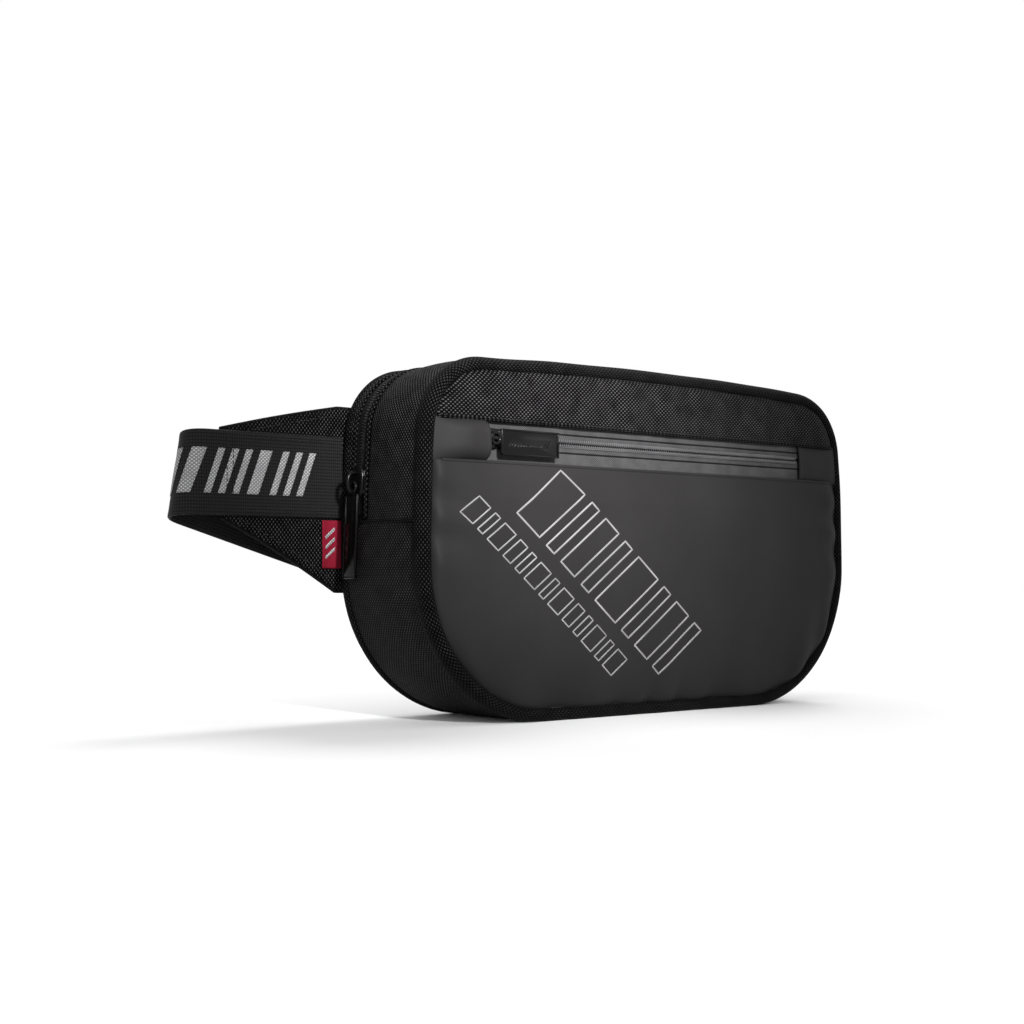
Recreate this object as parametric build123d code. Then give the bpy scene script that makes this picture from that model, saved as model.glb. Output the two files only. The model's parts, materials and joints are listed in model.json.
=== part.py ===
from build123d import *
from math import asin, atan2, cos, degrees, hypot, pi, radians, sin, sqrt, tan
import os

# Waist pack with a folded webbing belt. Millimetres, +Z up, the front faces -Y, +X runs along the
# width. The origin is the middle of the flat bottom that the bag stands on.

# ---- bag body
WIDTH = 276.0            # between the side seams at the corners
HEIGHT = 164.0           # between the bottom and the ends of the top edge
SIDE_BOW = 5.0           # how far each side bulges at mid height
TOP_BOW = 4.0            # how far the top edge bulges at its middle
TOP_RADIUS = 34.0
BOTTOM_RADIUS = 72.0
HALF_DEPTH = 33.0
SEAM_Z = 91.5            # seam between the lower and the upper gussets
FABRIC = 1.6             # gusset cloth with its backing
GAP = 0.1                # between sewn layers of the bag
RIM = 4.4                # width of the piped rims
RIM_DEPTH = 3.6
LINING = 0.5

# ---- main zip, in the rear third of the upper gusset
ZIP_Y = 18.0
COIL_WIDTH = 4.6
TAPE_WIDTH = 3.2
TAPE = 0.8

# ---- front pocket, on the front face
BAND_Z = 137.4           # lower edge of the top band
FRONT_ZIP_Z = 129.0
PANEL_Z = 118.4          # upper edge of the pocket panel
PANEL_BULGE = 4.6
WINDOW_LEFT = -114.2
WINDOW_RIGHT = 105.0
FACE_Y = -31.4           # plane on which the front panels are sewn

# ---- zip sliders and pulls
SLIDER_LENGTH = 12.0
SLIDER_WIDTH = 9.0
SLIDER_PLATE = 1.6
BRIDGE_HALF = 4.0
BRIDGE_LEG = 1.2
BRIDGE_TOP = 5.6
BRIDGE_WIDTH = 2.4
PULL_PIN_RADIUS = 1.0
PULL_PIN_HEIGHT = 3.0
PULL_REACH = 5.4         # from the pin to the plate of the pull
PULL_THICK = 1.6
PULL_HOLD = 0.3          # gap between a slider and the teeth under it
MAIN_SLIDER_Z = 110.0
MAIN_PULL = (39.0, 10.0)
FRONT_SLIDER_X = -107.5
FRONT_PULL = (34.0, 12.0)
FRONT_PULL_DROP = 1.6     # the front pull hangs this much below the teeth

# ---- belt
WEBBING = 38.0
WEBBING_THICK = 1.6
STRAP_Z = 112.7
FOLD_X = -214.5
FOLD_RADIUS = 8.2        # of the webbing's middle surface
FOLD_TILT = 8.5          # degrees that the fold leans from the vertical
FOLD_SHIFT = 3.2         # the leaning fold reaches this far beyond the outer layer's end
RUN_SLOPE = 2 * FOLD_TILT
RUN_LENGTH = 214.0
WING_ROOT = (60.0, 145.5)
WING_TIP = (93.0, 132.4)
WING_ROOT_X = 144.4
WING_TIP_X = 205.0
WING_CLOTH = 1.3
LEFT_WING_Y = 33.1
RIGHT_WING_Y = 34.0
RIGHT_BAR_X = -30.0
TAIL_END_X = 52.0
KEEPER_X = 26.0
LABEL_OUT = 8.4
LABEL_Z = (70.5, 92.8)

# ---- side release buckle
BAR_RADIUS = 1.6
LOOP_GAP = 0.25
BUCKLE_HALF = 24.0
SOCKET_DEPTH = 34.0
BUCKLE_THICK = 12.0
PRONG_LENGTH = 27.0
PRONG_V = 12.5

OVERALL = 400.0


def at_y(front, rear):
    """A plane that looks to the front, and the length of an extrusion on it from rear to front."""
    return Plane.XZ.offset(-rear), rear - front


def slab(sketch, front, rear):
    plane, length = at_y(front, rear)
    return extrude(plane * sketch, amount=length)


def block(x0, x1, y0, y1, z0, z1):
    return Pos((x0 + x1) / 2, (y0 + y1) / 2, (z0 + z1) / 2) * Box(x1 - x0, y1 - y0, z1 - z0)


def arc(centre, radius, start, stop):
    return CenterArc(centre, radius, degrees(start), degrees(stop - start))


def inset(distance):
    """The bag's outline in x and z, drawn in from the outermost one: five big arcs per half."""
    half, middle = WIDTH / 2, HEIGHT / 2
    side_r = (middle ** 2 + SIDE_BOW ** 2) / (2 * SIDE_BOW)
    top_r = (half ** 2 + TOP_BOW ** 2) / (2 * TOP_BOW)
    side_x = half + SIDE_BOW - side_r
    top_z = HEIGHT + TOP_BOW - top_r
    # the bottom corner's centre touches the bottom line and the side's circle from inside
    low = (side_x + sqrt((side_r - BOTTOM_RADIUS) ** 2 - (middle - BOTTOM_RADIUS) ** 2), BOTTOM_RADIUS)
    # the top corner's centre touches the circles of the side and of the top
    to_side, to_top = side_r - TOP_RADIUS, top_r - TOP_RADIUS
    apart = hypot(side_x, middle - top_z)
    along = (to_top ** 2 - to_side ** 2 + apart ** 2) / (2 * apart)
    across = sqrt(to_top ** 2 - along ** 2)
    ux, uz = side_x / apart, (middle - top_z) / apart
    high = (ux * along + uz * across, top_z + uz * along - ux * across)
    low_turn = atan2(low[1] - middle, low[0] - side_x)
    high_turn = atan2(high[1] - middle, high[0] - side_x)
    top_turn = atan2(high[1] - top_z, high[0])
    return make_face([
        Line((-low[0], distance), (low[0], distance)),
        arc(low, BOTTOM_RADIUS - distance, -pi / 2, low_turn),
        arc((side_x, middle), side_r - distance, low_turn, high_turn),
        arc(high, TOP_RADIUS - distance, high_turn, top_turn),
        arc((0, top_z), top_r - distance, top_turn, pi - top_turn),
        arc((-high[0], high[1]), TOP_RADIUS - distance, pi - top_turn, pi - high_turn),
        arc((-side_x, middle), side_r - distance, pi - high_turn, pi - low_turn),
        arc((-low[0], low[1]), BOTTOM_RADIUS - distance, pi - low_turn, 3 * pi / 2),
    ])


def ring(outer, inner, front, rear):
    return slab(inset(outer) - inset(inner), front, rear)


ABOVE_SEAM = block(-OVERALL, OVERALL, -OVERALL, OVERALL, SEAM_Z + GAP, OVERALL)
BELOW_SEAM = block(-OVERALL, OVERALL, -OVERALL, OVERALL, -OVERALL, SEAM_Z)


def gussets():
    """The ring between the two rims: one lower piece, two upper pieces, and the zip between them."""
    front = -HALF_DEPTH + RIM_DEPTH
    rear = HALF_DEPTH - RIM_DEPTH
    coil_front = ZIP_Y - COIL_WIDTH / 2
    coil_rear = ZIP_Y + COIL_WIDTH / 2
    tape_front = coil_front - GAP - TAPE_WIDTH
    tape_rear = coil_rear + GAP + TAPE_WIDTH
    return {
        "gusset_lower": ring(0, FABRIC, front + GAP, rear - GAP) & BELOW_SEAM,
        "gusset_front_upper": ring(0, FABRIC, front + GAP, tape_front - GAP) & ABOVE_SEAM,
        "gusset_rear_upper": ring(0, FABRIC, tape_rear + GAP, rear - GAP) & ABOVE_SEAM,
        "main_zip_tape_front": ring(0.4, 0.4 + TAPE, tape_front, coil_front - GAP) & ABOVE_SEAM,
        "main_zip_tape_rear": ring(0.4, 0.4 + TAPE, coil_rear + GAP, tape_rear) & ABOVE_SEAM,
        "main_zip_coil": ring(0.2, FABRIC, coil_front, coil_rear) & ABOVE_SEAM,
    }


def rims():
    front = ring(0, RIM, -HALF_DEPTH, -HALF_DEPTH + RIM_DEPTH)
    rear = ring(0, RIM, HALF_DEPTH - RIM_DEPTH, HALF_DEPTH)
    front = fillet(front.edges().filter_by(lambda e: abs(e.center().Y + HALF_DEPTH) < 0.01), 1.4)
    rear = fillet(rear.edges().filter_by(lambda e: abs(e.center().Y - HALF_DEPTH) < 0.01), 1.4)
    return {"front_piping": front, "rear_piping": rear}


def inside():
    """Lining, padded back and the slip pocket that is sewn to the back lining."""
    rear = HALF_DEPTH - RIM_DEPTH
    liner = FABRIC + GAP
    pocket_y = rear - 6.0
    pocket = block(-92, 92, pocket_y, pocket_y + 0.8, 22, 104)
    hem = block(-92, 92, pocket_y - 0.8, pocket_y + 1.6, 104.1, 108)
    return {
        "side_lining": ring(liner, liner + LINING, -HALF_DEPTH + RIM_DEPTH + GAP, rear - 3.2),
        "back_panel": slab(inset(RIM + GAP), HALF_DEPTH - 1.8, HALF_DEPTH - 0.2),
        "back_foam": slab(inset(RIM + GAP), rear - 0.6, HALF_DEPTH - 1.9),
        "back_lining": slab(inset(liner + LINING + GAP), rear - 1.3, rear - 0.7),
        "inner_slip_pocket": pocket,
        "inner_pocket_hem": hem,
    }


def front_face():
    """Top band, pocket panel, its zip and the two flaps that cover the ends of the zip."""
    face = inset(RIM + GAP)
    left, right = WINDOW_LEFT, WINDOW_RIGHT
    band = slab(face, FACE_Y - 1.4, FACE_Y) & block(-OVERALL, OVERALL, -OVERALL, OVERALL, BAND_Z, OVERALL)
    low = slab(face, FACE_Y - PANEL_BULGE, FACE_Y)
    panel = low & block(-OVERALL, OVERALL, -OVERALL, OVERALL, -OVERALL, PANEL_Z)
    front_edges = panel.edges().filter_by(lambda e: e.center().Y < FACE_Y - PANEL_BULGE + 0.01)
    panel = fillet(front_edges, 2.4)
    flap_zone = slab(face, FACE_Y - 2.4, FACE_Y)
    between = (PANEL_Z + GAP, BAND_Z - GAP)
    teeth = 2.3
    return {
        "front_top_panel": band,
        "front_pocket_panel": panel,
        "pocket_flap_left": flap_zone & block(-OVERALL, left, -OVERALL, OVERALL, *between),
        "pocket_flap_right": flap_zone & block(right, OVERALL, -OVERALL, OVERALL, *between),
        "pocket_zip_tape_upper": block(left + GAP, right - GAP, FACE_Y - 1.0, FACE_Y,
                                       FRONT_ZIP_Z + teeth + GAP, BAND_Z - GAP),
        "pocket_zip_tape_lower": block(left + GAP, right - GAP, FACE_Y - 1.0, FACE_Y,
                                       PANEL_Z + GAP, FRONT_ZIP_Z - teeth - GAP),
        "pocket_zip_coil": block(left + GAP, right - GAP, FACE_Y - 1.8, FACE_Y,
                                 FRONT_ZIP_Z - teeth, FRONT_ZIP_Z + teeth),
        "pocket_backing": slab(inset(RIM + GAP), FACE_Y + GAP, FACE_Y + 1.2),
        "front_lining": slab(inset(FABRIC + GAP + LINING + GAP), FACE_Y + 2.3, FACE_Y + 2.8),
    }


def slider(length=SLIDER_LENGTH, width=SLIDER_WIDTH):
    """Slider plate with its bridge. Local x runs along the zip, z stands off the cloth."""
    plate = block(-length / 2, length / 2, -width / 2, width / 2, 0, SLIDER_PLATE)
    plate = fillet(plate.edges().filter_by(Axis.Z), 2.2)
    body = plate
    for side in (-1, 1):
        inner, outer = side * (BRIDGE_HALF - BRIDGE_LEG), side * BRIDGE_HALF
        body += block(min(inner, outer), max(inner, outer), -BRIDGE_WIDTH / 2, BRIDGE_WIDTH / 2,
                      SLIDER_PLATE, BRIDGE_TOP)
    top = block(-BRIDGE_HALF, BRIDGE_HALF, -BRIDGE_WIDTH / 2, BRIDGE_WIDTH / 2,
                BRIDGE_TOP - BRIDGE_LEG, BRIDGE_TOP)
    return body + top


def pull(plate_length, plate_width, drop=0.0):
    """Pull tab that reaches along local +x from a pin under the bridge, at the origin."""
    arm_in, arm_out = 2.0, 3.0
    body = Rot(90, 0, 0) * Cylinder(PULL_PIN_RADIUS, 2 * arm_out)
    low, high = -PULL_THICK / 2, PULL_THICK / 2
    for side in (-1, 1):
        a, b = sorted((side * arm_in, side * arm_out))
        body += block(0, PULL_REACH + 0.6, a, b, low, high)
    plate = block(PULL_REACH, PULL_REACH + plate_length,
                  -plate_width / 2 - drop, plate_width / 2 - drop, low, high)
    plate = fillet(plate.edges().filter_by(Axis.Z), 1.4)
    return body + plate


def side_frame(z):
    """Place on the left side at this height: local x down the side, local z away from the bag."""
    radius = ((HEIGHT / 2) ** 2 + SIDE_BOW ** 2) / (2 * SIDE_BOW)
    turn = asin((z - HEIGHT / 2) / radius)
    centre_x = radius - WIDTH / 2 - SIDE_BOW
    start = radius - 0.2 + PULL_HOLD
    spot = (centre_x - start * cos(turn), ZIP_Y, HEIGHT / 2 + start * sin(turn))
    return Plane(origin=spot, x_dir=(-sin(turn), 0, -cos(turn)), z_dir=(-cos(turn), 0, sin(turn)))


def zip_pulls():
    side = side_frame(MAIN_SLIDER_Z)
    front = Plane(origin=(FRONT_SLIDER_X, FACE_Y - 1.8 - PULL_HOLD, FRONT_ZIP_Z),
                  x_dir=(1, 0, 0), z_dir=(0, -1, 0))
    pin = Pos(0, 0, PULL_PIN_HEIGHT)
    return {
        "main_zip_slider": side.location * slider(),
        "main_pull_tab": side.location * pin * pull(*MAIN_PULL),
        "front_zip_slider": front.location * slider(),
        "front_pull_tab": front.location * pin * pull(*FRONT_PULL, FRONT_PULL_DROP),
    }


def wing_outline(side, grow=0.0):
    """Wing seen from the front, on the side -1 (left) or +1 (as folded, it points to -X)."""
    root = side * WING_ROOT_X
    tip = side * WING_TIP_X if side < 0 else 2 * WING_ROOT_X - WING_TIP_X
    corners = [(root, WING_ROOT[0] - grow), (tip, WING_TIP[0] - grow),
               (tip, WING_TIP[1] + grow), (root, WING_ROOT[1] + grow)]
    return make_face(Polyline(*corners, close=True))


def wing(side, front):
    """Two cloth layers and the tape that binds their edges; the folded wing has its mesh to the bag."""
    name = "left" if side < 0 else "right"
    near, far = ("_wing_outer", "_wing_inner") if side < 0 else ("_wing_inner", "_wing_outer")
    cloth = wing_outline(side)
    middle = front + WING_CLOTH
    back = middle + GAP + WING_CLOTH
    trim = slab(wing_outline(side, 1.6), front - 0.2, back + 0.2)
    trim -= slab(wing_outline(side, 0.1), front - 1, back + 1)
    return {
        name + near: slab(cloth, front, middle),
        name + far: slab(cloth, middle + GAP, back),
        name + "_wing_binding": trim,
    }


def along_run(shape_plane_y):
    """Frame of the folded back run: local x along it, local y across it, local z to the front.

    Webbing that wraps half round a tilted fold also creeps down along the fold's axis.
    """
    slope, tilt = radians(RUN_SLOPE), radians(FOLD_TILT)
    creep = pi * FOLD_RADIUS * tan(tilt)
    start = (FOLD_X - creep * sin(tilt), shape_plane_y, STRAP_Z - creep * cos(tilt))
    return Plane(origin=start, x_dir=(cos(slope), 0, -sin(slope)), z_dir=(0, -1, 0))


def loop_round_bar(at, across):
    """Sewn loop of webbing round a buckle bar that lies along local y."""
    inner = BAR_RADIUS + LOOP_GAP
    shape = Cylinder(inner + WEBBING_THICK, across) - Cylinder(inner, across)
    return Pos(at, 0, 0) * Rot(90, 0, 0) * shape


def strap_layer(x0, x1, z):
    half = WEBBING / 2
    thick = WEBBING_THICK / 2
    return block(x0, x1, -half, half, z - thick, z + thick)


def left_belt():
    strap_y = LEFT_WING_Y - 0.3 - WEBBING_THICK / 2
    half = WEBBING / 2
    outer = block(FOLD_X, -WING_ROOT_X - 2.4, strap_y - WEBBING_THICK / 2, strap_y + WEBBING_THICK / 2,
                  STRAP_Z - half, STRAP_Z + half)
    turn_y = strap_y + FOLD_RADIUS
    big, small = FOLD_RADIUS + WEBBING_THICK / 2, FOLD_RADIUS - WEBBING_THICK / 2
    turn = Cylinder(big, WEBBING) - Cylinder(small, WEBBING)
    turn = Rot(0, FOLD_TILT, 0) * (turn & block(-big, -0.1, -big, big, -WEBBING, WEBBING))
    turn = Pos(FOLD_X - FOLD_SHIFT, turn_y, STRAP_Z) * turn
    run_y = turn_y + FOLD_RADIUS
    frame = along_run(run_y)
    bar_at = RUN_LENGTH
    run = strap_layer(3.0, bar_at - BAR_RADIUS - LOOP_GAP - 0.6, 0)
    run += loop_round_bar(bar_at, WEBBING)
    label = block(-WING_ROOT_X - LABEL_OUT, -WING_ROOT_X - 0.9, strap_y + 0.2, LEFT_WING_Y - 0.1, *LABEL_Z)
    return {
        "left_belt_outer": outer,
        "left_belt_fold": turn,
        "left_belt_return": frame.location * run,
        "side_label": label,
        "buckle_socket": frame.location * Pos(bar_at, 0, 0) * socket(),
    }


def socket():
    """Buckle half with the mouth. Its bar is at the origin, along local y, the mouth faces +x."""
    start = BAR_RADIUS + LOOP_GAP + WEBBING_THICK + 0.8
    end = start + SOCKET_DEPTH
    half, thick = BUCKLE_HALF, BUCKLE_THICK / 2
    shell = block(start, end, -half, half, -thick, thick)
    shell = fillet(shell.edges().filter_by(Axis.X), 3.0)
    shell -= block(start + 4, end + 1, -half + 5.5, half - 5.5, -3.4, 3.4)
    shell -= block(start + 9, start + 22, -half - 1, half + 1, -3.4, 3.4)
    for side in (-1, 1):
        a, b = sorted((side * (WEBBING / 2 + 0.8), side * half))
        shell += block(-BAR_RADIUS, start + 1, a, b, -2.2, 2.2)
    return shell + Rot(90, 0, 0) * Cylinder(BAR_RADIUS, 2 * half)


def plug():
    """Buckle half with the guide tongue. Its bar is at the origin, the tongue points to +x."""
    start = BAR_RADIUS + LOOP_GAP + WEBBING_THICK + 0.8
    half = BUCKLE_HALF
    body = block(start, start + 8, -half, half, -3.2, 3.2)
    body = fillet(body.edges().filter_by(Axis.Z), 2.0)
    for side in (-1, 1):
        a, b = sorted((side * (WEBBING / 2 + 0.8), side * half))
        body += block(-BAR_RADIUS, start + 1, a, b, -2.2, 2.2)
    tongue = block(start + 7, start + 8 + PRONG_LENGTH - 5, -3, 3, -1.6, 1.6)
    return body + tongue + Rot(90, 0, 0) * Cylinder(BAR_RADIUS, 2 * half)


def prong(side):
    """Springy arm with a catch at its end, on one side of the tongue."""
    start = BAR_RADIUS + LOOP_GAP + WEBBING_THICK + 0.8 + 8.3
    arm = block(start, start + PRONG_LENGTH, -2, 2, -2.6, 2.6)
    catch = block(start + PRONG_LENGTH - 11, start + PRONG_LENGTH, *sorted((side * 1.9, side * 4.6)),
                  -2.6, 2.6)
    return Pos(0, side * PRONG_V, 0) * (arm + catch)


def right_belt():
    """Belt half folded behind the bag. Local x points to -X, so the plug faces the left."""
    cloth_back = RIGHT_WING_Y + 2 * WING_CLOTH + GAP
    strap_y = cloth_back + 0.3 + WEBBING_THICK / 2
    loop_mid = BAR_RADIUS + LOOP_GAP + WEBBING_THICK / 2
    bar_y = strap_y + loop_mid
    frame = Plane(origin=(RIGHT_BAR_X, bar_y, STRAP_Z), x_dir=(-1, 0, 0), z_dir=(0, 1, 0))
    belt = strap_layer(-(WING_ROOT_X - 1.4 - RIGHT_BAR_X), 0, -loop_mid)
    belt += strap_layer(-(TAIL_END_X - RIGHT_BAR_X), 0, loop_mid)
    belt += loop_round_bar(0, WEBBING)
    inner = BAR_RADIUS + LOOP_GAP
    belt -= Rot(90, 0, 0) * Cylinder(inner, 2 * WEBBING)
    high, half = loop_mid + WEBBING_THICK / 2 + 0.4, WEBBING / 2 + 0.4
    at = -(KEEPER_X - RIGHT_BAR_X)
    keeper = block(at - 7, at + 7, -half - 1.2, half + 1.2, -high - 1.2, high + 1.2)
    keeper -= block(at - 8, at + 8, -half, half, -high, high)
    return {
        "right_belt": frame.location * belt,
        "belt_keeper": frame.location * keeper,
        "buckle_plug": frame.location * plug(),
        "buckle_prong_upper": frame.location * prong(1),
        "buckle_prong_lower": frame.location * prong(-1),
    }


def build():
    nodes = {}
    for group in (gussets(), rims(), inside(), front_face(), zip_pulls(), wing(-1, LEFT_WING_Y),
                  left_belt(), wing(1, RIGHT_WING_Y), right_belt()):
        nodes.update(group)
    os.makedirs("parts", exist_ok=True)
    for name, shape in nodes.items():
        solids = shape.solids()
        whole = solids[0] if len(solids) == 1 else Compound(children=list(solids))
        whole.label = name
        export_step(whole, "parts/" + name + ".step")


build()
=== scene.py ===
import json
import bmesh
import bpy
import numpy as np
from math import asin, atan2, cos, hypot, pi, radians, sin, sqrt
from mathutils import Matrix, Vector


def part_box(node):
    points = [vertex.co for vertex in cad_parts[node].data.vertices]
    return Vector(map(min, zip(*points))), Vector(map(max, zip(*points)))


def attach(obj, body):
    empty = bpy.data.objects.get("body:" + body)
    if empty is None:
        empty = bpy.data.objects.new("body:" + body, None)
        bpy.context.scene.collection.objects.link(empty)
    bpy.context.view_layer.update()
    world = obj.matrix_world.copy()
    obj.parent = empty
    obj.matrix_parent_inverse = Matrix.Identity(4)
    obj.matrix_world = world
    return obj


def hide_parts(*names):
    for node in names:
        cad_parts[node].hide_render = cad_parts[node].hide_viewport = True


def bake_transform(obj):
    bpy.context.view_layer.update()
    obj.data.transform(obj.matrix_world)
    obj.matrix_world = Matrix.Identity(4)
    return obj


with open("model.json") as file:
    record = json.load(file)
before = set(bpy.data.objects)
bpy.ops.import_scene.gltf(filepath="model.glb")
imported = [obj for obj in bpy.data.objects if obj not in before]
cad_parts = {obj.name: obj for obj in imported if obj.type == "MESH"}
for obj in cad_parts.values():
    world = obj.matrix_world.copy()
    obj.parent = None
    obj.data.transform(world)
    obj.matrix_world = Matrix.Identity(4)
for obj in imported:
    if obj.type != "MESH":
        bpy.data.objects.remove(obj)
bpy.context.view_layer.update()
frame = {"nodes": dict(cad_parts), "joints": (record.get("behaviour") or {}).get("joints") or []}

MM = 0.001
WELD = 1e-7

# ---------------------------------------------------------------- sizes, from the CAD boxes (metres)
rim_lo, rim_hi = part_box("front_piping")
low_lo, low_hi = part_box("gusset_lower")
band_lo, band_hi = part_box("front_top_panel")
_, panel_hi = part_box("front_pocket_panel")
coil_lo, coil_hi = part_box("pocket_zip_coil")
_, back_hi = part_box("rear_piping")
main_coil_lo, main_coil_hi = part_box("main_zip_coil")

SIDE_BOW = 5.0 * MM
TOP_BOW = 4.0 * MM
HALF_WIDTH = rim_hi.x - SIDE_BOW
HEIGHT = rim_hi.z - TOP_BOW
TOP_RADIUS = 34.0 * MM
BOTTOM_RADIUS = 72.0 * MM
SEAM_Z = low_hi.z
RIM = 4.4 * MM
FACE_Y = band_hi.y
FRONT_Y = rim_lo.y
REAR_Y = back_hi.y
BAND_Z = band_lo.z
PANEL_Z = panel_hi.z
ZIP_Z = (coil_lo.z + coil_hi.z) / 2
ZIP_Y = (main_coil_lo.y + main_coil_hi.y) / 2


# ---------------------------------------------------------------- the bag's outline
def outline_table(count=4000):
    """Points and inward normals round the outline, from the bottom's middle to the right and round."""
    middle = HEIGHT / 2
    side_r = (middle ** 2 + SIDE_BOW ** 2) / (2 * SIDE_BOW)
    top_r = (HALF_WIDTH ** 2 + TOP_BOW ** 2) / (2 * TOP_BOW)
    side_x = HALF_WIDTH + SIDE_BOW - side_r
    top_z = HEIGHT + TOP_BOW - top_r
    reach = sqrt((side_r - BOTTOM_RADIUS) ** 2 - (middle - BOTTOM_RADIUS) ** 2)
    low = (side_x + reach, BOTTOM_RADIUS)
    to_side, to_top = side_r - TOP_RADIUS, top_r - TOP_RADIUS
    apart = hypot(side_x, middle - top_z)
    along = (to_top ** 2 - to_side ** 2 + apart ** 2) / (2 * apart)
    across = sqrt(to_top ** 2 - along ** 2)
    ux, uz = side_x / apart, (middle - top_z) / apart
    high = (ux * along + uz * across, top_z + uz * along - ux * across)
    low_turn = atan2(low[1] - middle, low[0] - side_x)
    high_turn = atan2(high[1] - middle, high[0] - side_x)
    top_turn = atan2(high[1] - top_z, high[0])
    arcs = [
        (low, BOTTOM_RADIUS, -pi / 2, low_turn),
        ((side_x, middle), side_r, low_turn, high_turn),
        (high, TOP_RADIUS, high_turn, top_turn),
        ((0, top_z), top_r, top_turn, pi / 2),
    ]
    points = [(t * low[0], 0.0, 0.0, 1.0) for t in np.linspace(0, 1, count // 10, endpoint=False)]
    for centre, radius, start, stop in arcs:
        steps = max(8, int(count * radius * (stop - start) / 0.8))
        for turn in np.linspace(start, stop, steps, endpoint=False):
            c, s = cos(turn), sin(turn)
            points.append((centre[0] + radius * c, centre[1] + radius * s, -c, -s))
    half = np.array(points + [(0.0, HEIGHT + TOP_BOW, 0.0, -1.0)])
    mirror = half[::-1][1:] * np.array([-1, 1, -1, 1])
    table = np.vstack([half, mirror])
    length = np.concatenate([[0], np.cumsum(np.hypot(*np.diff(table[:, :2], axis=0).T))])
    return table, length


TABLE, LENGTH = outline_table()
PERIMETER = LENGTH[-1]


def outline(s, inset=0.0):
    """x and z on the outline at the arc lengths s, drawn in by inset."""
    s = np.mod(s, PERIMETER)
    x, z, nx, nz = (np.interp(s, LENGTH, TABLE[:, k]) for k in range(4))
    return x + nx * inset, z + nz * inset


def length_at(z, right=True):
    """Arc length at this height on the right or on the left side, above the bottom's corners."""
    half = len(TABLE) // 2
    part = slice(0, half) if right else slice(half, None)
    order = np.argsort(TABLE[part, 1])
    return float(np.interp(z, TABLE[part, 1][order], LENGTH[part][order]))


# ---------------------------------------------------------------- mesh helpers
def collection_link(name, data):
    """A new object in the scene that carries this mesh, light or camera."""
    obj = bpy.data.objects.new(name, data)
    bpy.context.scene.collection.objects.link(obj)
    return obj


def finish_mesh(mesh, angle=40):
    """Smooth shading with sharp edges where faces meet at more than the angle."""
    mesh.shade_smooth()
    mesh.set_sharp_from_angle(angle=radians(angle))


def grid(name, points, uvs=None, close_u=False, close_v=False, angle=60):
    """A quad surface from an array of points [rows][columns][3]; uvs are in metres."""
    points = np.asarray(points, float)
    rows, columns = points.shape[:2]
    mesh = bpy.data.meshes.new(name)
    faces = []
    corner_uv = []
    for i in range(rows if close_u else rows - 1):
        for j in range(columns if close_v else columns - 1):
            ring = [(i, j), (i, j + 1), (i + 1, j + 1), (i + 1, j)]
            faces.append([(a % rows) * columns + b % columns for a, b in ring])
            corner_uv += ring
    mesh.from_pydata(points.reshape(-1, 3).tolist(), [], faces)
    layer = mesh.uv_layers.new(name="UVMap")
    if uvs is None:
        du = np.linalg.norm(np.diff(points, axis=0, append=points[:1]), axis=2).mean(axis=1)
        dv = np.linalg.norm(np.diff(points, axis=1, append=points[:, :1]), axis=2).mean(axis=0)
        u = np.concatenate([[0], np.cumsum(du)])
        v = np.concatenate([[0], np.cumsum(dv)])
        flat = [(u[a], v[b]) for a, b in corner_uv]
    else:
        flat = [uvs[a % rows][b % columns] for a, b in corner_uv]
    layer.data.foreach_set("uv", np.array(flat, float).ravel())
    finish_mesh(mesh, angle)
    return collection_link(name, mesh)


def join(name, objects):
    """One object from several, with their modifiers applied and their places kept."""
    bm = bmesh.new()
    bm.loops.layers.uv.new("UVMap")
    depsgraph = bpy.context.evaluated_depsgraph_get()
    slots = []
    for obj in objects:
        mesh = bpy.data.meshes.new_from_object(obj.evaluated_get(depsgraph))
        mesh.transform(obj.matrix_world)
        shift = len(slots)
        slots += [slot.material for slot in obj.material_slots]
        start = len(bm.faces)
        bm.from_mesh(mesh)
        bm.faces.ensure_lookup_table()
        for face in bm.faces[start:]:
            face.material_index += shift
        bpy.data.meshes.remove(mesh)
        bpy.data.objects.remove(obj)
    mesh = bpy.data.meshes.new(name)
    bm.to_mesh(mesh)
    bm.free()
    for material in slots:
        mesh.materials.append(material)
    return collection_link(name, mesh)


def dress(obj, material):
    """Give the object this one material."""
    obj.data.materials.clear()
    obj.data.materials.append(material)
    return obj


def line_of(x, y, z):
    """Points of a line or a grid, from coordinates of which some may be constant."""
    return np.stack(np.broadcast_arrays(x, y, z), axis=-1)


def apply_modifiers(obj):
    """Turn the object's modifiers into real geometry."""
    depsgraph = bpy.context.evaluated_depsgraph_get()
    mesh = bpy.data.meshes.new_from_object(obj.evaluated_get(depsgraph))
    old = obj.data
    obj.modifiers.clear()
    obj.data = mesh
    bpy.data.meshes.remove(old)
    return obj


def mend(obj, weld=0.0, fill=False):
    """Weld points that lie closer than weld, fill open ends and make the normals agree."""
    bm = bmesh.new()
    bm.from_mesh(obj.data)
    if weld:
        bmesh.ops.remove_doubles(bm, verts=bm.verts, dist=weld)
    if fill:
        bmesh.ops.holes_fill(bm, edges=[e for e in bm.edges if e.is_boundary], sides=0)
    bmesh.ops.recalc_face_normals(bm, faces=bm.faces)
    bm.to_mesh(obj.data)
    bm.free()


def flip_outward(obj, centre=(0, 0, HEIGHT / 2)):
    """Make the normals of an open surface point away from a centre, usually the bag's middle."""
    centre = Vector(centre)
    total = sum((p.center - centre).dot(p.normal) * p.area for p in obj.data.polygons)
    if total < 0:
        obj.data.flip_normals()


def solidify(obj, thickness, offset=-1.0):
    """Give a sheet a thickness: behind its face, or half to each side with offset 0."""
    modifier = obj.modifiers.new("thickness", "SOLIDIFY")
    modifier.thickness = thickness
    modifier.offset = offset
    return apply_modifiers(obj)


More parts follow.
